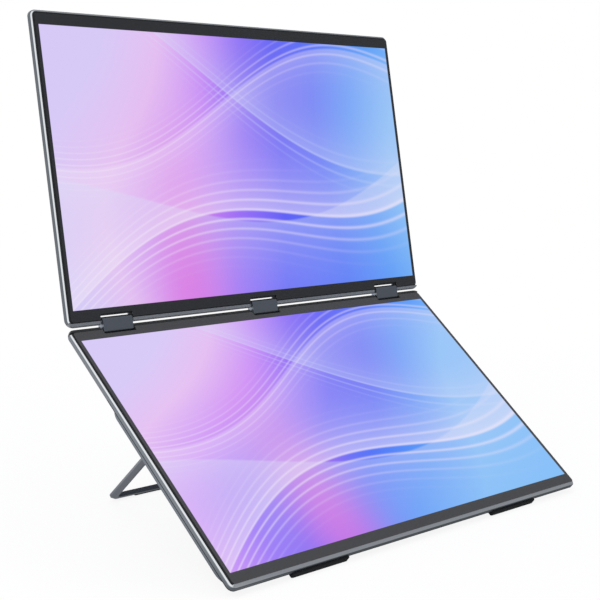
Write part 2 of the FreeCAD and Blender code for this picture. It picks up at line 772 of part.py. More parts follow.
def build_electronics():
    """Main board, sockets, switches and speakers inside the rear housing."""
    place = lower_place()
    board = new_body("main_board", place)
    pad(board, "-board_back", "board_thickness",
        [("-main_board_outside", "-main_board_inside", "main_board_start", "main_board_end")])
    middle = "-(main_board_outside + main_board_inside) / 2"
    centre = "(main_board_start + main_board_end) / 2"
    pad(board, "-board_back - chip_height - board_thickness", "board_thickness + chip_height",
        [(middle + " - chip_side / 2", middle + " + chip_side / 2",
          centre + " - 3 * chip_side / 2", centre + " - chip_side / 2"),
         (middle + " - chip_side / 2", middle + " + chip_side / 4",
          centre + " + chip_side / 2", centre + " + chip_side")])

    sockets = [build_socket("usb_c_sockets", port_spans()[:2]),
               build_socket("mini_hdmi_socket", port_spans()[2:])]

    switches = new_body("button_switches", place)
    places = ("power_place", "rocker_place - rocker_length / 3", "rocker_place + rocker_length / 3")
    pad(switches, "-button_depth - button_radius", "button_depth + button_radius - board_back",
        [("-switch_out", "-switch_out + switch_depth",
          middle + " - switch_width / 2", middle + " + switch_width / 2") for middle in places])

    speakers = build_plate(
        "speakers", place, "board_front", "speaker_height",
        *[("%d * speaker_offset - speaker_length / 2" % way, "%d * speaker_offset + speaker_length / 2" % way,
           "speaker_place - speaker_width / 2", "speaker_place + speaker_width / 2") for way in (-1, 1)])
    return [board, switches, speakers] + sockets


def build_socket(label, spans):
    """Sheet-metal sockets with a tongue inside, mouths at the housing's side."""
    body = new_body(label, lower_place())
    mouth = "port_recess - housing_side"
    for middle, width, radius in spans:
        low = "%s - %s / 2 + %s" % (middle, width, radius)
        high = "%s + %s / 2 - %s" % (middle, width, radius)
        pad_across(body, mouth, "port_length", draw_capsule, low, high, "-port_depth", radius)
    for middle, width, radius in spans:
        low = "%s - %s / 2 + %s" % (middle, width, radius)
        high = "%s + %s / 2 - %s" % (middle, width, radius)
        pocket_across(body, mouth + " + port_length - port_shell", "port_length",
                      draw_capsule, low, high, "-port_depth", radius + " - port_shell")
    for middle, width, radius in spans:
        pad_across(body, mouth + " + port_gap", "port_length - 2 * port_gap", draw_rectangle,
                   "%s - %s / 2 + %s" % (middle, width, radius),
                   "%s + %s / 2 - %s" % (middle, width, radius),
                   "-port_depth - port_shell", "port_shell - port_depth")
    return body


def build_buttons():
    """Power button that slides and menu rocker that tips, both in the housing's side wall."""
    place = lower_place()
    power = new_body("power_button", place)
    reach = "power_length / 2 - button_radius"
    pad_across(power, "-button_out", "button_out - flange_out", draw_capsule,
               "power_place - (%s)" % reach, "power_place + (%s)" % reach, "-button_depth", "button_radius")
    pad_across(power, "-flange_out", "flange_thickness", draw_capsule,
               "power_place - (%s)" % reach, "power_place + (%s)" % reach,
               "-button_depth", "button_radius + flange_lip")

    rocker = new_body("menu_rocker", place)
    reach = "rocker_length / 2 - button_radius"
    pad_across(rocker, "-button_out", "button_out - flange_out + flange_thickness / 3", draw_capsule,
               "rocker_place - (%s)" % reach, "rocker_place + (%s)" % reach, "-button_depth", "button_radius")
    pad_across(rocker, "layer_gap - flange_out", "flange_thickness - layer_gap", draw_rectangle,
               "rocker_place - 2 * button_radius", "rocker_place + 2 * button_radius",
               "-button_depth - button_radius - flange_lip", "-button_depth + button_radius + flange_lip")
    return [power, rocker]


def build_kickstand():
    """U-shaped stand with round pivot ends, pin bores and a bevel for its pad."""
    body = new_body("kickstand_frame", kick_place())
    outer_end = "arm_length + crossbar_width / 2"
    base = pad(body, "-bar_thickness / 2", "bar_thickness",
               [("-kick_half_width", "kick_half_width", "0", outer_end)])
    end = number(outer_end)
    base = soften(body, "Fillet", base, "kick_corner",
                  lambda middle, direction: upright(direction) and near(middle.y, end))
    base = pocket(body, "bar_thickness / 2", "bar_thickness",
                  [("bar_width - kick_half_width", "kick_half_width - bar_width",
                    "-bar_thickness", "arm_length - crossbar_width / 2")])
    inner = number("arm_length - crossbar_width / 2")
    base = soften(body, "Fillet", base, "kick_corner / 2",
                  lambda middle, direction: upright(direction) and near(middle.y, inner))
    front = number("bar_thickness / 2")
    soften(body, "Chamfer", base, "tip_bevel",
           lambda middle, direction: near(middle.y, end) and near(middle.z, front)
           and abs(direction.x) > 0.99)
    for start in ("-kick_half_width", "kick_half_width - bar_width"):
        pad_across(body, start, "bar_width", draw_circle, "0", "0", "bar_thickness / 2")
    pocket_across(body, "kick_half_width", "2 * kick_half_width",
                  draw_circle, "0", "0", "pin_radius + run_gap")
    return body


def build_pins():
    """The kickstand's two pivot pins, held by the recess's walls."""
    body = new_body("kickstand_pins", lower_place())
    start = "recess_inner - channel_wall + 2 * layer_gap"
    end = "recess_outer + channel_wall - 2 * layer_gap"
    length = "(%s) - (%s)" % (end, start)
    for low in (start, "-(%s)" % end):
        pad_across(body, low, length, draw_circle, "pivot_place", "-kick_depth", "pin_radius")
    return body


def floor_block():
    """A block below the floor, which trims the rubber flat."""
    block = DOCUMENT.addObject("Part::Box", "floor_block")
    block.setExpression("Length", formula("2 * panel_width"))
    block.setExpression("Width", formula("4 * panel_height"))
    block.setExpression("Height", formula("panel_depth"))
    block.setExpression("Placement",
                        formula("placement(vector(-panel_width; -2 * panel_height; -panel_depth);"
                                " rotation(%s; 0))" % AXIS_X))
    return block


def trim(label, body, block):
    """Cut a rubber piece flat at the floor."""
    body.Label = label + "_untrimmed"
    cut = DOCUMENT.addObject("Part::Cut", label)
    cut.Base = body
    cut.Tool = block
    cut.Label = label
    return cut


def build_feet(block):
    """Rubber strips wrapped round the lower frame's back bottom edge."""
    body = new_body("front_feet_blank", lower_place())
    ends = [("%d * foot_offset - foot_length / 2" % way, "%d * foot_offset + foot_length / 2" % way)
            for way in (-1, 1)]
    base = pad(body, "-foot_end", "foot_end - foot_start",
               [(low, high, "far_edge - foot_overlap", "far_edge + foot_proud") for low, high in ends])
    outside = number("far_edge + foot_proud")
    soften(body, "Fillet", base, "foot_proud - 2 * layer_gap",
           lambda middle, direction: upright(direction) and near(middle.y, outside))
    seat = ("far_edge - foot_overlap - fit_gap", "far_edge + fit_gap")
    pocket(body, "-foot_start", "panel_depth - foot_start + fit_gap",
           [(low + " - fit_gap", high + " + fit_gap", *seat) for low, high in ends])
    return trim("front_feet", body, block)


def build_kick_pad(block):
    """Rubber strip along the crossbar's bevel."""
    body = new_body("kickstand_pad_blank", pad_place())
    sketch = new_sketch(body, "XY_Plane", "-pad_width / 2")
    draw_rectangle(sketch, "-pad_reach", "pad_reach",
                   "facet_distance + fit_gap", "tip_height + pad_width / 4")
    add(body, "Pad", sketch, "pad_width")
    return trim("kickstand_pad", body, block)


def check_document():
    """Stop on any failed object, and on any pocket that took nothing away."""
    for item in DOCUMENT.Objects:
        for word in ("Invalid", "Error"):
            if word in item.State:
                owner = item.getParentGeoFeatureGroup()
                raise RuntimeError("%s in %s is %s" % (item.Label, owner and owner.Label, word))
        if item.TypeId == "PartDesign::Pocket":
            before = item.BaseFeature.Shape.Volume
            if item.Shape.Volume > before - 0.001:
                owner = item.getParentGeoFeatureGroup()
                raise RuntimeError("%s in %s cuts nothing" % (item.Label, owner.Label))


def write_parts(parts):
    """Check each sub-part's shape and write it to its own file."""
    os.makedirs("parts", exist_ok=True)
    for part in parts:
        shape = part.Shape
        if shape.isNull() or not shape.isValid():
            raise RuntimeError("%s has a bad shape" % part.Label)
    for part in parts:
        part.Shape.exportStep("parts/%s.step" % part.Label)
        print(part.Label, len(part.Shape.Solids), round(part.Shape.Volume, 1))


def main():
    """Build the screens, links, rear housing, buttons and kickstand."""
    fill_sheet()
    parts = build_screen("upper", upper_place(), "far_edge - glass_inset")
    parts += build_screen("lower", lower_place(), "housing_start - fit_gap")
    relieve_ports(DOCUMENT.getObject("lower_frame"))
    for name, side in HINGE_SIDES:
        parts += build_link(name, side)
    parts.append(build_housing())
    parts += build_electronics()
    parts += build_buttons()
    parts += [build_kickstand(), build_pins()]
    block = floor_block()
    parts += [build_feet(block), build_kick_pad(block)]
    DOCUMENT.recompute()
    check_document()
    write_parts(parts)


main()
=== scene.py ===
"""Dresses two stacked portable screens on shaft hinges, and lights them for a studio picture."""

import logging
import math
from collections.abc import Mapping, Sequence
from dataclasses import dataclass, field
from enum import Enum

import bmesh
import bpy
from mathutils import Matrix, Vector


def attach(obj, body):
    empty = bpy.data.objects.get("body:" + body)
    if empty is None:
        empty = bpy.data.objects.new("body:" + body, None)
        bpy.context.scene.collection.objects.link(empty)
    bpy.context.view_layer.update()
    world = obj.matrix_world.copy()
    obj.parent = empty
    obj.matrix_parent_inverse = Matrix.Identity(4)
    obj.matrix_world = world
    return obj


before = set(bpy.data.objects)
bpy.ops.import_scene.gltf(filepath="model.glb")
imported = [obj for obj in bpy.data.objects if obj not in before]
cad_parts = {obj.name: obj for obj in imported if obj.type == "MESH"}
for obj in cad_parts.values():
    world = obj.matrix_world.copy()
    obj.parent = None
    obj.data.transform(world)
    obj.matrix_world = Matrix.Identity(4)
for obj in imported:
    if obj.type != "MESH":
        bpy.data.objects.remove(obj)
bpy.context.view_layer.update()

LOG = logging.getLogger("screen_extender")
MILLIMETRE = 0.001
Colour = tuple[float, float, float]
WHITE: Colour = (1.0, 1.0, 1.0)
BLACK: Colour = (0.0, 0.0, 0.0)
SIDES = ("left", "centre", "right")
HINGE_OFFSET = 137.0
BEFORE_FRAME = -10.0
PAST_FRAME = 300.0


def from_screen(red: int, green: int, blue: int) -> Colour:
    """Turn a colour as a screen shows it into the shader's linear colour.

    Args:
        red: Red from 0 to 255.
        green: Green from 0 to 255.
        blue: Blue from 0 to 255.

    Returns:
        The linear colour, each share from 0 to 1.
    """
    shares = (channel / 255 for channel in (red, green, blue))
    return tuple(s / 12.92 if s <= 0.04045 else ((s + 0.055) / 1.055) ** 2.4 for s in shares)


class Value:
    """A shader number that Python's arithmetic works on."""

    def __init__(self, graph: "Graph", socket: bpy.types.NodeSocket) -> None:
        """Wrap an output socket.

        Args:
            graph: The graph that holds the socket's node.
            socket: The socket that gives the number.
        """
        self.graph = graph
        self.socket = socket

    def __add__(self, other: "Value | float") -> "Value":
        """Add."""
        return self.graph.math("ADD", self, other)

    def __radd__(self, other: float) -> "Value":
        """Add to a plain number."""
        return self.graph.math("ADD", other, self)

    def __sub__(self, other: "Value | float") -> "Value":
        """Subtract."""
        return self.graph.math("SUBTRACT", self, other)

    def __rsub__(self, other: float) -> "Value":
        """Subtract from a plain number."""
        return self.graph.math("SUBTRACT", other, self)

    def __mul__(self, other: "Value | float") -> "Value":
        """Multiply."""
        return self.graph.math("MULTIPLY", self, other)

    def __rmul__(self, other: float) -> "Value":
        """Multiply a plain number."""
        return self.graph.math("MULTIPLY", other, self)

    def __truediv__(self, other: "Value | float") -> "Value":
        """Divide."""
        return self.graph.math("DIVIDE", self, other)

    def __pow__(self, other: float) -> "Value":
        """Raise to a power."""
        return self.graph.math("POWER", self, other)

    def __abs__(self) -> "Value":
        """Drop the sign."""
        return self.graph.math("ABSOLUTE", self)


class Graph:
    """The node graph of one material or of the world."""

    def __init__(self, tree: bpy.types.NodeTree) -> None:
        """Start from an empty graph.

        Args:
            tree: The tree that takes the nodes.
        """
        self.tree = tree
        self.tree.nodes.clear()

    def node(self, kind: str, settings: Mapping[str, object],
             sockets: Mapping[str | int, object]) -> bpy.types.Node:
        """Add a node.

        Args:
            kind: The node's type.
            settings: Attributes that are set first. The entry "stops" holds a ramp's colours.
            sockets: Values or links by socket name or number.

        Returns:
            The new node.
        """
        made = self.tree.nodes.new(kind)
        for name, setting in settings.items():
            if name == "stops":
                self._set_stops(made, setting)
            else:
                setattr(made, name, setting)
        for key, given in sockets.items():
            socket = made.inputs[key]
            if isinstance(given, Value):
                self.tree.links.new(given.socket, socket)
            elif isinstance(given, bpy.types.NodeSocket):
                self.tree.links.new(given, socket)
            elif socket.type == "RGBA":
                socket.default_value = (*given, 1.0)
            else:
                socket.default_value = given
        return made

    @staticmethod
    def _set_stops(ramp: bpy.types.Node, stops: Sequence[tuple[float, Colour]]) -> None:
        """Give a ramp its colours.

        Args:
            ramp: The ramp node.
            stops: Each place from 0 to 1 with its colour, in order.
        """
        elements = ramp.color_ramp.elements
        while len(elements) < len(stops):
            elements.new(0.5)
        for element, (place, colour) in zip(elements, stops):
            element.position = place
            element.color = (*colour, 1.0)

    def math(self, operation: str, *values: Value | float) -> Value:
        """Work out a number in the shader.

        Args:
            operation: The Math node's operation.
            values: Its inputs in order.

        Returns:
            The result.
        """
        sockets = dict(enumerate(values))
        return Value(self, self.node("ShaderNodeMath", {"operation": operation}, sockets).outputs[0])

    def step(self, value: Value, start: float, end: float) -> Value:
        """Rise smoothly from 0 to 1 while a value goes from start to end.

        Args:
            value: The number that is looked at.
            start: Where the result leaves 0.
            end: Where the result reaches 1.

        Returns:
            A number from 0 to 1.
        """
        made = self.node("ShaderNodeMapRange", {"interpolation_type": "SMOOTHSTEP"},
                         {"Value": value, "From Min": start, "From Max": end})
        return Value(self, made.outputs["Result"])

    def inside(self, value: Value, half: float, edge: float) -> Value:
        """Tell where a value lies within half of nothing.

        Args:
            value: The number that is looked at.
            half: Half of the span.
            edge: The width over which the result fades.

        Returns:
            1 within the span and 0 outside.
        """
        return 1 - self.step(abs(value), half - edge, half)

    def mix(self, share: Value, base: object, top: object) -> bpy.types.NodeSocket:
        """Lay one colour over another.

        Args:
            share: How much of the top colour shows.
            base: The colour or socket below.
            top: The colour or socket above.

        Returns:
            The mixed colour's socket.
        """
        made = self.node("ShaderNodeMix", {"data_type": "RGBA"}, {0: share, 6: base, 7: top})
        return made.outputs[2]

    def position(self) -> bpy.types.NodeSocket:
        """Give the place on the piece at rest, in metres."""
        return self.node("ShaderNodeTexCoord", {}, {}).outputs["Object"]

    def along(self, direction: Sequence[float], start: float) -> Value:
        """Measure the place on the piece along a direction.

        Args:
            direction: A unit direction.
            start: What is taken off, in millimetres.

        Returns:
            The distance in millimetres.
        """
        made = self.node("ShaderNodeVectorMath", {"operation": "DOT_PRODUCT"},
                         {0: self.position(), 1: tuple(direction)})
        return Value(self, made.outputs["Value"]) * (1 / MILLIMETRE) - start

    def noise(self, size: float, detail: float = 2.0) -> Value:
        """Add soft random variation.

        Args:
            size: The size of a spot in millimetres.
            detail: How many finer levels are added.

        Returns:
            A number about 0.5.
        """
        made = self.node("ShaderNodeTexNoise", {},
                         {"Vector": self.position(), "Scale": 1 / (size * MILLIMETRE), "Detail": detail})
        return Value(self, made.outputs[0])

    def cells(self, size: float, spread: float = 1.0) -> Value:
        """Add small round cells.

        Args:
            size: The distance between cells in millimetres.
            spread: How irregular they are, from 0 for a grid to 1.

        Returns:
            The distance from the nearest cell's middle, as a share of the size.
        """
        made = self.node("ShaderNodeTexVoronoi", {},
                         {"Vector": self.position(), "Scale": 1 / (size * MILLIMETRE), "Randomness": spread})
        return Value(self, made.outputs["Distance"])

    def bump(self, height: Value, depth: float, strength: float = 1.0) -> bpy.types.NodeSocket:
        """Turn a height into a normal.

        Args:
            height: The height from 0 to 1.
            depth: The relief in millimetres.
            strength: How strongly it shows.

        Returns:
            The normal's socket.
        """
        made = self.node("ShaderNodeBump", {},
                         {"Strength": strength, "Distance": depth * MILLIMETRE, "Height": height})
        return made.outputs["Normal"]


@dataclass(frozen=True)
class Lie:
    """How a screen lies: its hinge shaft in millimetres, its tilt, and which way it leads from the shaft."""

    shaft_y: float
    shaft_z: float
    tilt: float
    way: int
    shaft_depth: float = 2.3

    @property
    def away(self) -> Vector:
        """Direction from the hinge across the screen."""
        angle = math.radians(self.tilt)
        return Vector((0.0, self.way * math.cos(angle), self.way * math.sin(angle)))

    @property
    def front(self) -> Vector:
        """Direction out of the glass."""
        angle = math.radians(self.tilt)
        return Vector((0.0, -math.sin(angle), math.cos(angle)))

    def across(self, graph: Graph) -> Value:
        """Shader number: millimetres from the middle, rightward."""
        return graph.along((1.0, 0.0, 0.0), 0.0)

    def reach(self, graph: Graph) -> Value:
        """Shader number: millimetres from the hinge shaft."""
        return graph.along(self.away, self.away.dot(Vector((0.0, self.shaft_y, self.shaft_z))))

    def depth(self, graph: Graph) -> Value:
        """Shader number: millimetres behind the glass."""
        return graph.along(-self.front, -self.front.dot(Vector((0.0, self.shaft_y, self.shaft_z)))
                           - self.shaft_depth)

    def place(self, across: float, reach: float, depth: float) -> Vector:
        """Find a point of the screen.

        Args:
            across: Millimetres to the right of the middle.
            reach: Millimetres from the hinge shaft.
            depth: Millimetres behind the glass.

        Returns:
            The point in metres.
        """
        shaft = Vector((across, self.shaft_y, self.shaft_z))
        return (shaft + self.away * reach - self.front * (depth - self.shaft_depth)) * MILLIMETRE

    def backward(self, across: float, reach: float, depth: float) -> Matrix:
        """Give the frame of a piece that faces backward.

        Args:
            across: Millimetres to the right of the middle.
            reach: Millimetres from the hinge shaft.
            depth: Millimetres behind the glass.

        Returns:
            A matrix whose z leads out of the back, with millimetres as its unit.
        """
        turn = Matrix((self.away.cross(-self.front), self.away, -self.front)).transposed().to_4x4()
        return Matrix.Translation(self.place(across, reach, depth)) @ turn @ Matrix.Scale(MILLIMETRE, 4)


UPPER = Lie(shaft_y=49.250, shaft_z=147.047, tilt=79.98, way=1)
LOWER = Lie(shaft_y=48.206, shaft_z=141.139, tilt=39.84, way=-1)


@dataclass(frozen=True)
class Finish:
    """A surface's look, made into one material."""

    name: str
    colour: Colour

    def make(self) -> bpy.types.Material:
        """Build the material.

        Returns:
            The new material.
        """
        material = bpy.data.materials.new(self.name)
        material.use_nodes = True
        graph = Graph(material.node_tree)
        shader = graph.node("ShaderNodeBsdfPrincipled", {}, self.sockets(graph))
        graph.node("ShaderNodeOutputMaterial", {}, {"Surface": shader.outputs[0]})
        return material

    def sockets(self, graph: Graph) -> dict[str | int, object]:
        """Give the shader's sockets; each finish has its own."""
        return {"Base Color": self.colour}


@dataclass(frozen=True)
class BlastedMetal(Finish):
    """Bead-blasted metal: fine pits, with slight clouding of its colour and gloss."""

    roughness: float = 0.36
    metallic: float = 1.0
    grain: float = 0.16
    relief: float = 0.012
    clouding: float = 0.05
    cloud_size: float = 26.0
    cloud_gloss: float = 0.10
    pit_gloss: float = 0.04
    pit_strength: float = 0.35

    def sockets(self, graph: Graph) -> dict[str | int, object]:
        """Give the shader's sockets.

        Args:
            graph: The material's graph.

        Returns:
            Values and links by socket name.
        """
        clouds = graph.noise(self.cloud_size, 3.0)
        pits = graph.cells(self.grain)
        light = tuple(share * (1 + self.clouding) for share in self.colour)
        dark = tuple(share * (1 - self.clouding) for share in self.colour)
        return {
            "Base Color": graph.mix(clouds, dark, light),
            "Metallic": self.metallic,
            "Roughness": (self.roughness - self.cloud_gloss / 2 + self.cloud_gloss * clouds
                          + self.pit_gloss * pits),
            "Normal": graph.bump(pits, self.relief, self.pit_strength),
        }


@dataclass(frozen=True)
class BevelledFrame(BlastedMetal):
    """The screen's ring: blasted sides, a narrow cut bevel, a black inner slope and painted shade in the
    hinge notches.

    The hinge edge is painted black up to hinge_shade_reach as painted shade, and the inner slope is black up
    to slope_end.
    A seam of 1 paints a shadow line in the gap beside the housing, beyond gap_shadow_reach and behind
    gap_shadow_depth.
    """

    lie: Lie = UPPER
    bevel: Colour = (0.76, 0.79, 0.82)
    bevel_span: tuple[float, float] = (0.78, 1.60)
    gap_shadow_depth: float = 3.9
    gap_shadow_reach: float = 57.5
    gap_shadow: float = 0.0
    hinge_shade_reach: float = BEFORE_FRAME
    slope_end: float = PAST_FRAME
    notch_half: float = 13.9
    notch_end: float = 5.5
    softness: float = 0.05
    edge_fade: float = 0.1
    notch_fade: float = 0.2
    gap_shadow_fade: float = 0.15
    gap_shadow_start_fade: float = 0.3
    bevel_end: float = 2.0
    cut_roughness: float = 0.13
    line_size: float = 0.9
    line_gloss: float = 0.05
    black_and_shade_colour: Colour = from_screen(22, 23, 25)
    black_roughness: float = 0.42
    black_gloss: float = 0.2

    def sockets(self, graph: Graph) -> dict[str | int, object]:
        """Give the shader's sockets.

        Args:
            graph: The material's graph.

        Returns:
            Values and links by socket name.
        """
        made = super().sockets(graph)
        depth = self.lie.depth(graph)
        reach = self.lie.reach(graph)
        near_slope, far_slope = self.bevel_span
        soft, fade = self.softness, self.edge_fade
        slope = ((1 - graph.step(depth, near_slope - soft, near_slope + soft))
                 * (1 - graph.step(reach, self.slope_end, self.slope_end + fade)))
        # Painted shade: the hinge edge is painted black up to hinge_shade_reach, darker than the frame
        # metal's own slate.
        hinge_edge_shade = (1 - graph.step(reach, self.hinge_shade_reach, self.hinge_shade_reach + fade)) * (
            1 - graph.step(depth, self.bevel_end, self.bevel_end + fade))
        black = graph.math("MAXIMUM", slope, hinge_edge_shade)
        cut = (1 - graph.step(depth, far_slope - soft, far_slope + soft)) * (1 - black)
        sideways = self.lie.across(graph)
        apart = abs(abs(sideways) - HINGE_OFFSET / 2) - HINGE_OFFSET / 2
        # Painted shade: the hinge notches are painted black, where the recess under the hinge blocks lies in
        # shade.
        notch_shade = (graph.inside(apart, self.notch_half, fade)
                 * (1 - graph.step(reach, self.notch_end, self.notch_end + self.notch_fade)))
        # Painted shadow: a dark line in the gap between the frame and the housing.
        gap_shadow = (graph.step(depth, self.gap_shadow_depth, self.gap_shadow_depth + self.gap_shadow_fade)
                * graph.step(reach, self.gap_shadow_reach, self.gap_shadow_reach + self.gap_shadow_start_fade) * self.gap_shadow)
        lines = graph.noise(self.line_size, 1.0)
        # dark joins the black inner slope with the painted shade in the notches and at the hinge edge and the
        # painted shadow line in the gap; all take the black colour.
        dark = graph.math("MAXIMUM", graph.math("MAXIMUM", notch_shade, black), gap_shadow)
        made["Base Color"] = graph.mix(dark, graph.mix(cut, made["Base Color"], self.bevel),
                                       self.black_and_shade_colour)
        made["Metallic"] = 1 - dark
        made["Roughness"] = (made["Roughness"] * (1 - cut) * (1 - dark)
                             + cut * (self.cut_roughness + self.line_gloss * lines)
                             + dark * self.black_roughness)
        made["Specular IOR Level"] = self.black_gloss
        return made


@dataclass(frozen=True)
class TurnedSteel(Finish):
    """Turned or ground steel with fine rings along x."""

    roughness: float = 0.26
    pitch: float = 0.18
    wear_size: float = 3.0
    wear_gloss: float = 0.12
    highlight: float = 1.15
    ring_relief: float = 0.006
    ring_strength: float = 0.3

    def sockets(self, graph: Graph) -> dict[str | int, object]:
        """Give the shader's sockets.

        Args:
            graph: The material's graph.

        Returns:
            Values and links by socket name.
        """
        rings = graph.math("SINE", graph.along((1.0, 0.0, 0.0), 0.0) * (math.tau / self.pitch))
        wear = graph.noise(self.wear_size, 3.0)
        light = tuple(min(1.0, share * self.highlight) for share in self.colour)
        return {
            "Base Color": graph.mix(wear, self.colour, light),
            "Metallic": 1.0,
            "Roughness": self.roughness + self.wear_gloss * wear,
            "Normal": graph.bump(rings, self.ring_relief, self.ring_strength),
        }


@dataclass(frozen=True)
class Moulded(Finish):
    """Moulded plastic or rubber with a fine spark-eroded grain."""

    roughness: float = 0.55
    grain: float = 0.35
    relief: float = 0.02
    tinting: float = 0.12
    cloud_size: float = 30.0
    cloud_share: float = 0.6
    speckle_gloss: float = 0.12
    speckle_strength: float = 0.5

    def sockets(self, graph: Graph) -> dict[str | int, object]:
        """Give the shader's sockets.

        Args:
            graph: The material's graph.

        Returns:
            Values and links by socket name.
        """
        speckle = graph.noise(self.grain, 3.0)
        clouds = graph.noise(self.cloud_size, 2.0)
        light = tuple(share * (1 + self.tinting) for share in self.colour)
        dark = tuple(share * (1 - self.tinting) for share in self.colour)
        tone = clouds * self.cloud_share + speckle * (1 - self.cloud_share)
        return {
            "Base Color": graph.mix(tone, dark, light),
            "Metallic": 0.0,
            "Roughness": self.roughness - self.speckle_gloss / 2 + self.speckle_gloss * speckle,
            "Normal": graph.bump(speckle, self.relief, self.speckle_strength),
        }


@dataclass(frozen=True)
class RibbedRubber(Moulded):
    """Rubber with fine grip ribs across the strip."""

    rib: float = 1.4
    rib_share: float = 0.5
    grain_share: float = 0.3
    rib_relief: float = 0.12
    rib_strength: float = 0.6

    def sockets(self, graph: Graph) -> dict[str | int, object]:
        """Give the shader's sockets.

        Args:
            graph: The material's graph.

        Returns:
            Values and links by socket name.
        """
        made = super().sockets(graph)
        ribs = graph.math("SINE", graph.along((1.0, 0.0, 0.0), 0.0) * (math.tau / self.rib))
        height = ribs * self.rib_share + graph.noise(self.grain) * self.grain_share
        made["Normal"] = graph.bump(height, self.rib_relief, self.rib_strength)
        return made


@dataclass(frozen=True)
class Wave:
    """A curve across the wallpaper, as shares of the picture's height."""

    start: float
    slope: float
    swing: float
    rate: float
    phase: float

    def off(self, graph: Graph, across: Value, up: Value) -> Value:
        """Measure how far above the curve a point lies.

        Args:
            graph: The material's graph.
            across: The picture's horizontal place.
            up: The picture's vertical place.

        Returns:
            The height above the curve.
        """
        swing = graph.math("SINE", across * self.rate + self.phase) * self.swing
        return up - swing - across * self.slope - self.start


class Edge(Enum):
    """Which side of its curve a veil fades to."""

    ABOVE = 1
    BELOW = -1


@dataclass(frozen=True)
class Veil:
    """A translucent sheet with one crisp edge."""

    wave: Wave
    side: Edge
    width: float
    strength: float
    tint: Colour
    edge: float = 0.012

    def lay(self, graph: Graph, base: object, across: Value, up: Value) -> bpy.types.NodeSocket:
        """Lay the veil over a colour.

        Args:
            graph: The material's graph.
            base: The colour below.
            across: The picture's horizontal place.
            up: The picture's vertical place.

        Returns:
            The new colour's socket.
        """
        off = self.wave.off(graph, across, up) * float(self.side.value)
        fade = graph.math("EXPONENT", graph.math("MAXIMUM", off, 0.0) * (-1 / self.width))
        return graph.mix(graph.step(off, 0.0, self.edge) * fade * self.strength, base, self.tint)


@dataclass(frozen=True)
class Threads:
    """A bundle of thin bright lines beside a curve."""

    wave: Wave
    width: float
    count: float
    strength: float
    tint: Colour
    fan_start: float = 1.4
    fan_fall: float = 0.8
    sharpness: float = 5.0

    def lay(self, graph: Graph, base: object, across: Value, up: Value) -> bpy.types.NodeSocket:
        """Lay the lines over a colour.

        Args:
            graph: The material's graph.
            base: The colour below.
            across: The picture's horizontal place.
            up: The picture's vertical place.

        Returns:
            The new colour's socket.
        """
        off = self.wave.off(graph, across, up)
        spread = off * (self.fan_start - self.fan_fall * across)
        lines = (0.5 + 0.5 * graph.math("SINE", spread * (math.tau * self.count))) ** self.sharpness
        share = off / self.width
        band = graph.math("EXPONENT", share * share * -1.0)
        return graph.mix(lines * band * self.strength, base, self.tint)


@dataclass(frozen=True)
class Glow:
    """A soft round patch of another colour, placed by shares of the picture."""

    middle: tuple[float, float]
    size: tuple[float, float]
    strength: float
    tint: Colour

    def lay(self, graph: Graph, base: object, across: Value, up: Value) -> bpy.types.NodeSocket:
        """Lay the patch over a colour.

        Args:
            graph: The material's graph.
            base: The colour below.
            across: The picture's horizontal place.
            up: The picture's vertical place.

        Returns:
            The new colour's socket.
        """
        beside = (across - self.middle[0]) / self.size[0]
        above = (up - self.middle[1]) / self.size[1]
        patch = graph.math("EXPONENT", (beside * beside + above * above) * -1.0)
        return graph.mix(patch * self.strength, base, self.tint)


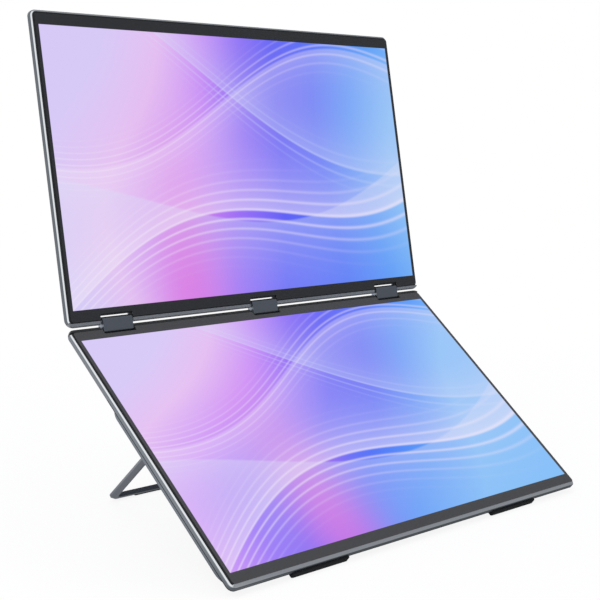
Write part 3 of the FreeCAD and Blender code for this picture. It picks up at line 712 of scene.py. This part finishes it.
@dataclass(frozen=True)
class Wallpaper:
    """An abstract picture of soft bands, from lilac at the left to sky blue at the right."""

    shift: float = 0.0
    lean: float = 0.0
    half_width: float = 172.1
    near: float = 8.9
    far: float = 202.5
    long_sway: tuple[float, float, float] = (2.7, 0.6, 0.09)
    short_sway: tuple[float, float, float] = (4.1, 5.0, 0.05)
    stops: tuple[tuple[float, Colour], ...] = (
        (0.00, from_screen(222, 208, 255)),
        (0.15, from_screen(236, 198, 250)),
        (0.30, from_screen(212, 150, 255)),
        (0.43, from_screen(158, 112, 255)),
        (0.55, from_screen(96, 98, 255)),
        (0.70, from_screen(74, 118, 255)),
        (0.84, from_screen(84, 158, 255)),
        (1.00, from_screen(128, 194, 255)),
    )

    def paint(self, graph: Graph, lie: Lie) -> bpy.types.NodeSocket:
        """Paint the picture.

        Args:
            graph: The material's graph.
            lie: The screen's place.

        Returns:
            The colour's socket.
        """
        tall = self.far - self.near
        across = (lie.across(graph) + self.half_width) / (2 * self.half_width)
        share = (lie.reach(graph) - self.near) / tall
        up = share if lie.way > 0 else 1 - share
        rate, phase, swing = self.long_sway
        sway = graph.math("SINE", up * rate + phase) * swing
        rate, slant, swing = self.short_sway
        sway = sway + graph.math("SINE", up * rate + across * slant) * swing
        place = across + sway + self.shift + self.lean * (0.5 - up)
        ramp = graph.node("ShaderNodeValToRGB", {"stops": self.stops}, {"Fac": place})
        colour = ramp.outputs["Color"]
        for layer in self.layers():
            colour = layer.lay(graph, colour, across, up)
        return colour

    @staticmethod
    def layers() -> tuple[Glow | Veil | Threads, ...]:
        """List what lies over the bands.

        Returns:
            The patches, veils and threads from the back forward.
        """
        white = from_screen(250, 240, 255)
        pale = from_screen(214, 226, 255)
        rise = Wave(start=-0.10, slope=0.62, swing=0.20, rate=4.2, phase=0.5)
        roll = Wave(start=0.30, slope=0.34, swing=0.24, rate=3.3, phase=2.4)
        fall = Wave(start=1.10, slope=-0.62, swing=0.13, rate=4.6, phase=1.3)
        crest = Wave(start=0.62, slope=0.28, swing=0.15, rate=5.2, phase=4.0)
        return (
            Glow((0.30, 0.12), (0.10, 0.42), 0.72, from_screen(232, 92, 226)),
            Glow((0.60, 0.78), (0.16, 0.30), 0.55, from_screen(92, 78, 248)),
            Veil(roll, Edge.BELOW, 0.30, 0.34, pale),
            Veil(crest, Edge.BELOW, 0.16, 0.30, white),
            Veil(fall, Edge.ABOVE, 0.22, 0.30, pale),
            Veil(rise, Edge.ABOVE, 0.20, 0.46, white),
            Threads(rise, 0.11, 26.0, 0.50, white),
            Threads(crest, 0.07, 34.0, 0.34, white),
            Threads(fall, 0.06, 30.0, 0.30, pale),
        )


@dataclass(frozen=True)
class DisplayGlass(Finish):
    """Cover glass: a black printed border round the lit picture."""

    lie: Lie = UPPER
    gloss: float = 0.22
    picture: Wallpaper = field(default_factory=Wallpaper)
    glow: float = 0.92
    border_edge: float = 0.25
    face_depth: float = 0.1
    roughness: float = 0.10
    smear_size: float = 34.0
    smear_gloss: float = 0.05

    def sockets(self, graph: Graph) -> dict[str | int, object]:
        """Give the shader's sockets.

        Args:
            graph: The material's graph.

        Returns:
            Values and links by socket name.
        """
        middle = (self.picture.near + self.picture.far) / 2
        half_tall = (self.picture.far - self.picture.near) / 2
        lit = (graph.inside(self.lie.across(graph), self.picture.half_width, self.border_edge)
               * graph.inside(self.lie.reach(graph) - middle, half_tall, self.border_edge)
               * (1 - graph.step(self.lie.depth(graph), self.face_depth, 2 * self.face_depth)))
        smears = graph.noise(self.smear_size, 3.0)
        return {
            "Base Color": graph.mix(lit, self.colour, BLACK),
            "Roughness": self.roughness + self.smear_gloss * smears,
            "Specular IOR Level": self.gloss,
            "Emission Color": graph.mix(lit, BLACK, self.picture.paint(graph, self.lie)),
            "Emission Strength": self.glow,
        }


@dataclass(frozen=True)
class Socket(Finish):
    """Plated sheet metal with a dark tongue in the mouth."""

    lie: Lie = LOWER
    mouth_depth: float = 6.28
    tongue_half: float = 0.32
    tongue_out: float = 175.1
    tongue_edge: float = 0.02
    tongue_colour: Colour = from_screen(30, 31, 33)
    roughness: float = 0.24
    wear_size: float = 1.2
    wear_gloss: float = 0.16
    wear_relief: float = 0.01
    wear_strength: float = 0.3

    def sockets(self, graph: Graph) -> dict[str | int, object]:
        """Give the shader's sockets.

        Args:
            graph: The material's graph.

        Returns:
            Values and links by socket name.
        """
        level = self.lie.depth(graph) - self.mouth_depth
        edge = self.tongue_edge
        tongue = (graph.inside(level, self.tongue_half, edge)
                  * (1 - graph.step(self.lie.across(graph), self.tongue_out - edge, self.tongue_out)))
        wear = graph.noise(self.wear_size, 3.0)
        return {
            "Base Color": graph.mix(tongue, self.colour, self.tongue_colour),
            "Metallic": 1 - tongue,
            "Roughness": self.roughness + self.wear_gloss * wear,
            "Normal": graph.bump(wear, self.wear_relief, self.wear_strength),
        }


@dataclass(frozen=True)
class CircuitBoard(Finish):
    """Solder mask over fine traces, with small pads."""

    lie: Lie = LOWER
    chip_depth: float = 4.75
    trace: Colour = from_screen(40, 86, 60)
    gilt: Colour = from_screen(206, 170, 96)
    package: Colour = from_screen(32, 33, 35)
    trace_scale: float = 260.0
    trace_gap: float = 0.035
    pad_pitch: float = 2.6
    pad_spread: float = 0.6
    pad_size: tuple[float, float] = (0.16, 0.2)
    pad_relief: float = 0.03
    pad_strength: float = 0.5
    plating: float = 0.8
    chip_fade: float = 0.04
    sheen_change: float = 1.3
    roughness: float = 0.38
    mottling: float = 0.15

    def sockets(self, graph: Graph) -> dict[str | int, object]:
        """Give the shader's sockets.

        Args:
            graph: The material's graph.

        Returns:
            Values and links by socket name.
        """
        tracks = graph.node("ShaderNodeTexBrick", {"offset": 0.5}, {
            "Vector": graph.position(), "Scale": self.trace_scale, "Mortar Size": self.trace_gap,
            "Color1": self.colour, "Color2": tuple(share * self.sheen_change for share in self.colour),
            "Mortar": self.trace})
        pads = 1 - graph.step(graph.cells(self.pad_pitch, self.pad_spread), *self.pad_size)
        chip = graph.step(self.lie.depth(graph), self.chip_depth, self.chip_depth + self.chip_fade)
        plated = graph.mix(pads * self.plating, tracks.outputs["Color"], self.gilt)
        return {
            "Base Color": graph.mix(chip, plated, self.package),
            "Metallic": pads * (1 - chip) * self.plating,
            "Roughness": self.roughness + self.mottling * graph.noise(1.0),
            "Normal": graph.bump(pads, self.pad_relief, self.pad_strength),
        }


@dataclass(frozen=True)
class DottedLayer(Finish):
    """A thin optical layer printed with small dots."""

    dot_colour: Colour = (0.9, 0.9, 0.9)
    dot_pitch: float = 1.2
    roughness: float = 0.3
    dot_size: tuple[float, float] = (0.22, 0.28)
    dot_gloss: float = 0.15
    dot_relief: float = 0.01
    dot_strength: float = 0.4

    def sockets(self, graph: Graph) -> dict[str | int, object]:
        """Give the shader's sockets.

        Args:
            graph: The material's graph.

        Returns:
            Values and links by socket name.
        """
        dots = 1 - graph.step(graph.cells(self.dot_pitch, 0.0), *self.dot_size)
        return {
            "Base Color": graph.mix(dots, self.colour, self.dot_colour),
            "Roughness": self.roughness + self.dot_gloss * dots,
            "Normal": graph.bump(dots, self.dot_relief, self.dot_strength),
        }


@dataclass(frozen=True)
class GrilleCloth(Finish):
    """Fine black cloth behind the speaker slots."""

    thread: float = 0.45
    highlight: float = 2.2
    roughness: float = 0.85
    sheen: float = 0.2
    weave_relief: float = 0.08
    weave_strength: float = 0.8

    def sockets(self, graph: Graph) -> dict[str | int, object]:
        """Give the shader's sockets.

        Args:
            graph: The material's graph.

        Returns:
            Values and links by socket name.
        """
        warp = graph.math("SINE", LOWER.across(graph) * (math.tau / self.thread))
        weft = graph.math("SINE", LOWER.reach(graph) * (math.tau / self.thread))
        weave = 0.5 + 0.5 * warp * weft
        light = tuple(share * self.highlight for share in self.colour)
        return {
            "Base Color": graph.mix(weave, self.colour, light),
            "Roughness": self.roughness,
            "Sheen Weight": self.sheen,
            "Normal": graph.bump(weave, self.weave_relief, self.weave_strength),
        }


def dress(node: str, material: bpy.types.Material) -> None:
    """Give every slot of a CAD node one material.

    Args:
        node: The CAD node's name.
        material: What it is made of.
    """
    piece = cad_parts[node]
    if not piece.material_slots:
        piece.data.materials.append(material)
    for slot in piece.material_slots:
        slot.material = material
    LOG.info("%s is dressed in %s", node, material.name)


def add_piece(name: str, mesh: bpy.types.Mesh, material: bpy.types.Material, body: str) -> bpy.types.Object:
    """Put a new piece in the scene.

    Args:
        name: The piece's name.
        mesh: Its mesh in metres.
        material: Its material.
        body: The CAD body that it rides on.

    Returns:
        The new object.
    """
    piece = bpy.data.objects.new(name, mesh)
    bpy.context.scene.collection.objects.link(piece)
    mesh.materials.append(material)
    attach(piece, body)
    LOG.info("%s rides on %s", name, body)
    return piece


def skin(solid: bmesh.types.BMesh, rings: Sequence[Sequence[Vector]]) -> None:
    """Close a solid over rings of points.

    Args:
        solid: The mesh that takes it.
        rings: Rings of equally many points, in order along the solid.
    """
    loops = [[solid.verts.new(point) for point in ring] for ring in rings]
    for low, high in zip(loops, loops[1:]):
        for index, vertex in enumerate(low):
            following = (index + 1) % len(low)
            solid.faces.new((vertex, low[following], high[following], high[index]))
    solid.faces.new(loops[0])
    solid.faces.new(loops[-1])


def to_mesh(name: str, solid: bmesh.types.BMesh) -> bpy.types.Mesh:
    """Finish a built solid.

    Args:
        name: The mesh's name.
        solid: The solid in metres, which is freed.

    Returns:
        The new mesh, with its faces turned outward.
    """
    bmesh.ops.recalc_face_normals(solid, faces=solid.faces)
    mesh = bpy.data.meshes.new(name)
    solid.to_mesh(mesh)
    solid.free()
    return mesh


@dataclass
class Screen:
    """One screen: frame ring, cover glass, the layers behind it, the back cover and the hinge edge's lips.

    Sizes are in millimetres and angles in degrees. Bumpers line the notches' ends.
    A lip follows a circle about the hinge shaft and shrinks into the frame's corners toward lip_end.
    """

    prefix: str
    lie: Lie
    ring: Colour
    border: Colour
    lip: Colour
    gloss: float
    # hinge_shade_reach sets how far the painted shade reaches along the hinge edge.
    hinge_shade_reach: float
    slope_end: float
    # seam switches on the painted shadow line in the gap beside the housing.
    gap_shadow: float
    picture: Wallpaper
    notch_offsets: tuple[float, ...] = (-HINGE_OFFSET, 0.0, HINGE_OFFSET)
    bumper_half: float = 13.3
    bumper_reach: tuple[float, float] = (3.9, 5.2)
    bumper_depth: tuple[float, float] = (0.7, 5.3)
    bumper_round: float = 0.35
    weld: float = 0.01
    lip_radius: float = 2.4
    lip_root: float = 0.6
    lip_steps: int = 14
    lip_inner: tuple[float, ...] = (13.8, 68.5, 123.2)
    lip_outer: float = 150.8
    lip_corner: float = 172.0
    lip_end: float = 176.2
    lip_start_angle: float = -56.0
    lip_sweep: float = 126.0
    lip_least: float = 0.05
    corner_shares: tuple[float, ...] = (0.0, 0.35, 0.6, 0.8, 0.92, 1.0)

    def dress(self) -> None:
        """Dress each of the screen's nodes."""
        ring = BevelledFrame(self.prefix + "_frame_anodised_painted_shade", self.ring, lie=self.lie,
                             hinge_shade_reach=self.hinge_shade_reach, slope_end=self.slope_end, gap_shadow=self.gap_shadow)
        glass = DisplayGlass(self.prefix + "_cover_glass_lit", self.border, lie=self.lie, gloss=self.gloss,
                             picture=self.picture)
        back = BlastedMetal(self.prefix + "_back_anodised", from_screen(126, 133, 141), roughness=0.42,
                            grain=0.2)
        board = CircuitBoard(self.prefix + "_board_mask", from_screen(22, 64, 46), lie=self.lie)
        cell = DottedLayer(self.prefix + "_cell", from_screen(34, 36, 44), from_screen(52, 55, 66), 0.8)
        guide = DottedLayer(self.prefix + "_guide", from_screen(226, 232, 238))
        strip = DottedLayer(self.prefix + "_led_strip", from_screen(236, 236, 228),
                            from_screen(240, 208, 80), 6.0)
        tray = BlastedMetal(self.prefix + "_tray", from_screen(168, 172, 176), grain=0.5)
        steel = TurnedSteel(self.prefix + "_shaft_steel", from_screen(176, 178, 182))
        plates = TurnedSteel(self.prefix + "_plate_steel", from_screen(158, 161, 166), pitch=0.5)
        finishes: dict[str, Finish] = {
            "frame": ring, "cover_glass": glass, "back_cover": back, "driver_board": board,
            "lcd_panel": cell, "light_guide": guide, "led_strip": strip, "backlight_tray": tray,
            "hinge_plates": plates,
        }
        for part, finish in finishes.items():
            dress(self.prefix + "_" + part, finish.make())
        shaft = steel.make()
        for side in SIDES:
            dress(f"{self.prefix}_hinge_shaft_{side}", shaft)

    def build_bumpers(self) -> None:
        """Add the rubber bars that line the notches' ends."""
        (near, far), (front, back), cut = self.bumper_reach, self.bumper_depth, self.bumper_round
        outline = ((far, front), (near + cut, front), (near, front + cut), (near, back - cut),
                   (near + cut, back), (far, back))
        bars = bmesh.new()
        for offset in self.notch_offsets:
            ends = ((-self.bumper_half, cut), (cut - self.bumper_half, 0.0),
                    (self.bumper_half - cut, 0.0), (self.bumper_half, cut))
            skin(bars, [[self.lie.place(offset + across, max(reach, near + inset),
                                        min(max(depth, front + inset), back - inset))
                         for reach, depth in outline] for across, inset in ends])
        bmesh.ops.remove_doubles(bars, verts=bars.verts, dist=self.weld * MILLIMETRE)
        name = self.prefix + "_notch_bumpers"
        mesh = to_mesh(name, bars)
        rubber = Moulded(self.prefix + "_bumper_rubber", from_screen(26, 27, 29), roughness=0.7)
        add_piece(name, mesh, rubber.make(), self.prefix + "_screen")

    def lip_section(self, across: float) -> list[Vector]:
        """Give the points of the rounded lip's section, which shrinks into the frame's corners.

        Args:
            across: Millimetres to the right of the middle.

        Returns:
            The section's points in metres.
        """
        past = max(0.0, abs(across) - self.lip_corner) / (self.lip_end - self.lip_corner)
        share = max(self.lip_least, math.sqrt(max(0.0, 1 - past * past)))
        middle, radius, root = self.lie.shaft_depth, self.lip_radius, self.lip_root
        angles = [math.radians(self.lip_start_angle + self.lip_sweep * step / self.lip_steps)
                  for step in range(self.lip_steps + 1)]
        arc = [(-radius * math.cos(angle), middle + radius * math.sin(angle)) for angle in angles]
        outline = [(root, arc[0][1]), *arc, (root, arc[-1][1])]
        return [self.lie.place(across, root - (root - reach) * share, depth) for reach, depth in outline]

    def build_lips(self) -> None:
        """Add the rounded lips between the notches, along the hinge edge."""
        corner = [self.lip_corner + (self.lip_end - self.lip_corner) * share
                  for share in self.corner_shares]
        lips = bmesh.new()
        for places in ([self.lip_outer, *corner], self.lip_inner):
            for way in (-1, 1):
                skin(lips, [self.lip_section(way * across) for across in places])
        name = self.prefix + "_hinge_lips"
        # The lip's colour is painted, in place of the frame metal's own tone: light grey on the upper screen
        # as painted light, and near black on the lower as painted shade.
        finish = BlastedMetal(self.prefix + "_lip_anodised_painted_light_and_shade", self.lip, roughness=0.45, metallic=0.3)
        add_piece(name, to_mesh(name, lips), finish.make(), self.prefix + "_screen")


@dataclass
class HingeLinks:
    """The three capsule links and their friction clips."""

    sides: tuple[str, ...] = SIDES

    def dress(self) -> None:
        """Dress the sleeves and the clips."""
        sleeve = BlastedMetal("hinge_sleeve_anodised", from_screen(148, 155, 164), roughness=0.36).make()
        clips = TurnedSteel("friction_clip_steel", from_screen(150, 150, 152), pitch=0.9).make()
        for side in self.sides:
            dress("hinge_cover_" + side, sleeve)
            dress("hinge_friction_clips_" + side, clips)


@dataclass
class CrossScrew:
    """A low round-headed screw with a cross recess, in millimetres."""

    radius: float = 1.7
    rise: float = 0.4
    arm: float = 0.95
    arm_half: float = 0.22
    sink: float = 0.3
    sides: int = 28
    dome: tuple[tuple[float, float], ...] = ((1.0, 0.0), (0.97, 0.45), (0.86, 0.85), (0.72, 1.0))

    def add_to(self, mesh: bmesh.types.BMesh, place: Matrix) -> None:
        """Build the head into a mesh.

        Args:
            mesh: The mesh that takes it.
            place: The frame of its seat.
        """
        made = bmesh.new()
        rings = []
        turns = [math.tau * index / self.sides for index in range(self.sides)]
        for share, height in self.dome:
            radius = self.radius * share
            rings.append([made.verts.new((radius * math.cos(turn), radius * math.sin(turn),
                                          self.rise * height)) for turn in turns])
        for low, high in zip(rings, rings[1:]):
            for index in range(self.sides):
                following = (index + 1) % self.sides
                made.faces.new((low[index], low[following], high[following], high[index]))
        top = [made.verts.new((x, y, self.rise)) for x, y in self.cross_outline()]
        bottom = [made.verts.new((x, y, self.rise - self.sink)) for x, y in self.cross_outline()]
        count = len(top)
        for index in range(count):
            following = (index + 1) % count
            made.faces.new((top[following], top[index], bottom[index], bottom[following]))
        made.faces.new(bottom)
        loops = (rings[-1], top)
        edges = [made.edges.get((loop[index], loop[(index + 1) % len(loop)]))
                 for loop in loops for index in range(len(loop))]
        bmesh.ops.triangle_fill(made, use_beauty=True, edges=edges, normal=(0.0, 0.0, 1.0))
        bmesh.ops.recalc_face_normals(made, faces=made.faces)
        made.transform(place)
        scratch = bpy.data.meshes.new("screw_scratch")
        made.to_mesh(scratch)
        made.free()
        mesh.from_mesh(scratch)
        bpy.data.meshes.remove(scratch)

    def cross_outline(self) -> list[tuple[float, float]]:
        """Give the recess's outline.

        Returns:
            Its corners in millimetres, anticlockwise.
        """
        long, short = self.arm, self.arm_half
        arm = ((long, -short), (long, short), (short, short))
        turns = ((1, 0), (0, 1), (-1, 0), (0, -1))
        return [(x * cosine - y * sine, x * sine + y * cosine) for cosine, sine in turns for x, y in arm]


@dataclass
class RearHousing:
    """The lower screen's rear housing with its board, sockets, buttons, speakers and feet, in millimetres."""

    screw_places: tuple[tuple[float, float], ...] = (
        (-165.0, 72.0), (165.0, 72.0), (-160.0, 200.0), (160.0, 200.0), (-40.0, 66.0), (40.0, 66.0))
    back_depth: float = 9.2
    seat: float = 0.02
    cloth_depth: float = 8.46
    cloth_size: tuple[float, float] = (24.0, 9.6)
    cloth_reach: float = 195.0
    cloth_offset: float = 129.0
    cloth_steps: int = 12
    cloth_sag: float = 0.10
    screw: CrossScrew = field(default_factory=CrossScrew)

    def dress(self) -> None:
        """Dress each node of the housing."""
        finishes: dict[str, Finish] = {
            "rear_housing": BlastedMetal("housing_anodised", from_screen(124, 131, 139), roughness=0.44,
                                         grain=0.22),
            "main_board": CircuitBoard("main_board_mask", from_screen(20, 60, 44)),
            "button_switches": Moulded("switch_body", from_screen(46, 47, 50)),
            "speakers": Moulded("speaker_box", from_screen(30, 31, 33)),
            "usb_c_sockets": Socket("usb_c_plating", from_screen(172, 174, 178)),
            "mini_hdmi_socket": Socket("mini_hdmi_plating", from_screen(164, 166, 170)),
            "power_button": BlastedMetal("power_button_cap", from_screen(112, 118, 125), roughness=0.3),
            "menu_rocker": BlastedMetal("menu_rocker_cap", from_screen(112, 118, 125), roughness=0.3),
            "kickstand_pins": TurnedSteel("pivot_pin_steel", from_screen(180, 182, 186)),
            "front_feet": RibbedRubber("foot_rubber", from_screen(22, 24, 26), roughness=0.8),
        }
        for node, finish in finishes.items():
            dress(node, finish.make())

    def build_screws(self) -> None:
        """Add the housing's screws."""
        heads = bmesh.new()
        for across, reach in self.screw_places:
            self.screw.add_to(heads, LOWER.backward(across, reach, self.back_depth - self.seat))
        mesh = bpy.data.meshes.new("housing_screws")
        heads.to_mesh(mesh)
        heads.free()
        finish = BlastedMetal("screw_black_zinc", from_screen(70, 73, 78), roughness=0.3, grain=0.1)
        add_piece("housing_screws", mesh, finish.make(), "lower_screen")

    def build_cloths(self) -> None:
        """Add the cloth behind the speaker slots."""
        cloth = bmesh.new()
        wide, tall = self.cloth_size
        steps = self.cloth_steps
        for way in (-1, 1):
            place = LOWER.backward(way * self.cloth_offset, self.cloth_reach, self.cloth_depth)
            grid = [[cloth.verts.new(place @ Vector((
                wide * (column / steps - 0.5), tall * (row / steps - 0.5),
                -self.cloth_sag * ((2 * column / steps - 1) ** 2 + (2 * row / steps - 1) ** 2) / 2)))
                for column in range(steps + 1)] for row in range(steps + 1)]
            for row in range(steps):
                for column in range(steps):
                    cloth.faces.new((grid[row][column], grid[row][column + 1],
                                     grid[row + 1][column + 1], grid[row + 1][column]))
        mesh = bpy.data.meshes.new("speaker_cloths")
        cloth.to_mesh(mesh)
        cloth.free()
        finish = GrilleCloth("speaker_cloth_black", from_screen(22, 22, 24))
        add_piece("speaker_cloths", mesh, finish.make(), "lower_screen")


@dataclass
class Kickstand:
    """The U-shaped stand and the rubber under its crossbar."""

    def dress(self) -> None:
        """Dress the stand."""
        stand = BlastedMetal("kickstand_anodised", from_screen(136, 139, 146), roughness=0.38)
        dress("kickstand_frame", stand.make())
        pad = RibbedRubber("stand_pad_rubber", from_screen(24, 25, 27), roughness=0.8)
        dress("kickstand_pad", pad.make())


@dataclass
class Studio:
    """Pale floor, soft lamps and the camera, in metres.

    Reflections see a brighter room and floor toward bright_way and a darker one away from it.
    """

    camera_place: tuple[float, float, float] = (-0.68263, -0.69268, 0.26900)
    camera_turn: tuple[float, float, float] = (83.24, 0.0, -44.24)
    lens: float = 80.44
    sensor: float = 36.0
    floor_half: float = 6.0
    lamps: tuple[tuple[str, tuple[float, float, float], float, float], ...] = (
        ("lamp_left_above", (-1.05, -0.17, 1.34), 1.1, 10.0),
        ("lamp_left_front", (-1.45, -1.42, 0.42), 0.8, 4.5),
        ("lamp_back_above", (0.55, 0.75, 1.55), 1.4, 7.0),
        ("lamp_right_front", (1.25, -1.10, 0.90), 1.2, 4.0),
    )
    aim: tuple[float, float, float] = (0.0, 0.0, 0.15)
    floor_tone: Colour = (0.94, 0.94, 0.94)
    floor_glow: float = 0.88
    floor_fade: tuple[float, float] = (0.25, 1.0)
    mirrored_floor: Colour = (0.22, 0.23, 0.24)
    bright_way: tuple[float, float, float] = (-0.92, 0.39, 0.0)
    bright_floor: tuple[float, float] = (40.0, 260.0)
    bright_room: tuple[float, float] = (-0.6, 0.3)
    dark_room: Colour = (0.24, 0.25, 0.27)
    room_light: Colour = (0.95, 0.97, 1.0)
    room_strength: float = 0.62

    def build_floor(self) -> None:
        """Add the floor, which keeps the object's shadow."""
        mesh = bpy.data.meshes.new("studio_floor")
        half = self.floor_half
        mesh.from_pydata([(-half, -half, 0), (half, -half, 0), (half, half, 0), (-half, half, 0)], [],
                         [(0, 1, 2, 3)])
        floor = bpy.data.objects.new("studio_floor", mesh)
        bpy.context.scene.collection.objects.link(floor)
        material = bpy.data.materials.new("studio_floor_white")
        material.use_nodes = True
        graph = Graph(material.node_tree)
        plain = graph.node("ShaderNodeBsdfDiffuse", {}, {"Color": self.floor_tone})
        path = graph.node("ShaderNodeLightPath", {}, {})
        left = graph.step(graph.along(self.bright_way, 0.0), *self.bright_floor)
        mirrored = Value(graph, path.outputs["Is Glossy Ray"]) * (1 - left)
        shown = graph.mix(mirrored, WHITE, self.mirrored_floor)
        white = graph.node("ShaderNodeEmission", {}, {"Color": shown, "Strength": 1.0})
        span = graph.node("ShaderNodeVectorMath", {"operation": "LENGTH"}, {0: graph.position()})
        far = graph.step(Value(graph, span.outputs["Value"]), *self.floor_fade)
        share = self.seen(graph) * (self.floor_glow + (1 - self.floor_glow) * far)
        both = graph.node("ShaderNodeMixShader", {}, {0: share, 1: plain.outputs[0], 2: white.outputs[0]})
        graph.node("ShaderNodeOutputMaterial", {}, {"Surface": both.outputs[0]})
        mesh.materials.append(material)

    @staticmethod
    def seen(graph: Graph) -> Value:
        """Tell the rays that see the white background from those that carry light.

        Args:
            graph: The graph that asks.

        Returns:
            1 for camera, glossy and transmitted rays, and 0 for others.
        """
        path = graph.node("ShaderNodeLightPath", {}, {})
        rays = [Value(graph, path.outputs[name])
                for name in ("Is Camera Ray", "Is Glossy Ray", "Is Transmission Ray")]
        return graph.math("MINIMUM", rays[0] + rays[1] + rays[2], 1.0)

    def build_world(self) -> None:
        """Light the room evenly, with a white background and a darker side at the right for reflections."""
        world = bpy.data.worlds.new("studio_world")
        world.use_nodes = True
        bpy.context.scene.world = world
        graph = Graph(world.node_tree)
        way = graph.node("ShaderNodeTexCoord", {}, {}).outputs["Generated"]
        turned = graph.node("ShaderNodeVectorMath", {"operation": "DOT_PRODUCT"},
                            {0: way, 1: self.bright_way})
        left = graph.step(Value(graph, turned.outputs["Value"]), *self.bright_room)
        path = graph.node("ShaderNodeLightPath", {}, {})
        direct = Value(graph, path.outputs["Is Camera Ray"])
        shown = graph.mix(graph.math("MAXIMUM", direct, left), self.dark_room, WHITE)
        lit = graph.node("ShaderNodeBackground", {},
                         {"Color": self.room_light, "Strength": self.room_strength})
        seen = graph.node("ShaderNodeBackground", {}, {"Color": shown, "Strength": 1.0})
        both = graph.node("ShaderNodeMixShader", {},
                          {0: self.seen(graph), 1: lit.outputs[0], 2: seen.outputs[0]})
        graph.node("ShaderNodeOutputWorld", {}, {"Surface": both.outputs[0]})

    def build_lamps(self) -> None:
        """Hang the soft lamps."""
        for name, place, size, power in self.lamps:
            lamp = bpy.data.lights.new(name, "AREA")
            lamp.size = size
            lamp.energy = power
            holder = bpy.data.objects.new(name, lamp)
            holder.location = place
            holder.visible_glossy = False
            holder.rotation_euler = (Vector(self.aim) - Vector(place)).to_track_quat("-Z", "Y").to_euler()
            bpy.context.scene.collection.objects.link(holder)
            LOG.info("%s hangs at %s", name, place)

    def build_camera(self) -> None:
        """Set the camera at the photograph's viewpoint."""
        camera = bpy.data.cameras.new("studio_camera")
        camera.lens = self.lens
        camera.sensor_width = self.sensor
        holder = bpy.data.objects.new("studio_camera", camera)
        holder.location = self.camera_place
        holder.rotation_euler = tuple(math.radians(angle) for angle in self.camera_turn)
        bpy.context.scene.collection.objects.link(holder)
        bpy.context.scene.camera = holder
        bpy.context.scene.view_settings.view_transform = "Standard"


def main() -> None:
    """Build and dress each sub-assembly, then the studio."""
    logging.basicConfig(level=logging.INFO, format="%(name)s: %(message)s")
    upper = Screen("upper", UPPER, ring=from_screen(104, 110, 117), border=from_screen(46, 47, 49),
                   # The upper lip is written light grey: painted light on its hinge edge.
                   lip=from_screen(126, 130, 135), gloss=0.30,
                   hinge_shade_reach=BEFORE_FRAME, slope_end=PAST_FRAME, gap_shadow=0.0,
                   picture=Wallpaper(shift=-0.09))
    # The lower's printed border is written lighter than the upper's: painted light for the sheen on its
    # glass.
    lower = Screen("lower", LOWER, ring=from_screen(128, 134, 141), border=from_screen(68, 68, 70),
                   # The lower lip is written near black: painted shade at its hinge edge.
                   lip=from_screen(56, 57, 59), gloss=0.50,
                   # Only the lower screen gets painted shade at its hinge edge and a painted shadow line
                   # beside its housing.
                   hinge_shade_reach=1.3, slope_end=210.0, gap_shadow=1.0,
                   picture=Wallpaper(shift=0.06, lean=0.38))
    for screen in (upper, lower):
        screen.dress()
        screen.build_bumpers()
        screen.build_lips()
    HingeLinks().dress()
    housing = RearHousing()
    housing.dress()
    housing.build_screws()
    housing.build_cloths()
    Kickstand().dress()
    studio = Studio()
    studio.build_floor()
    studio.build_world()
    studio.build_lamps()
    studio.build_camera()


if __name__ == "__main__":
    main()
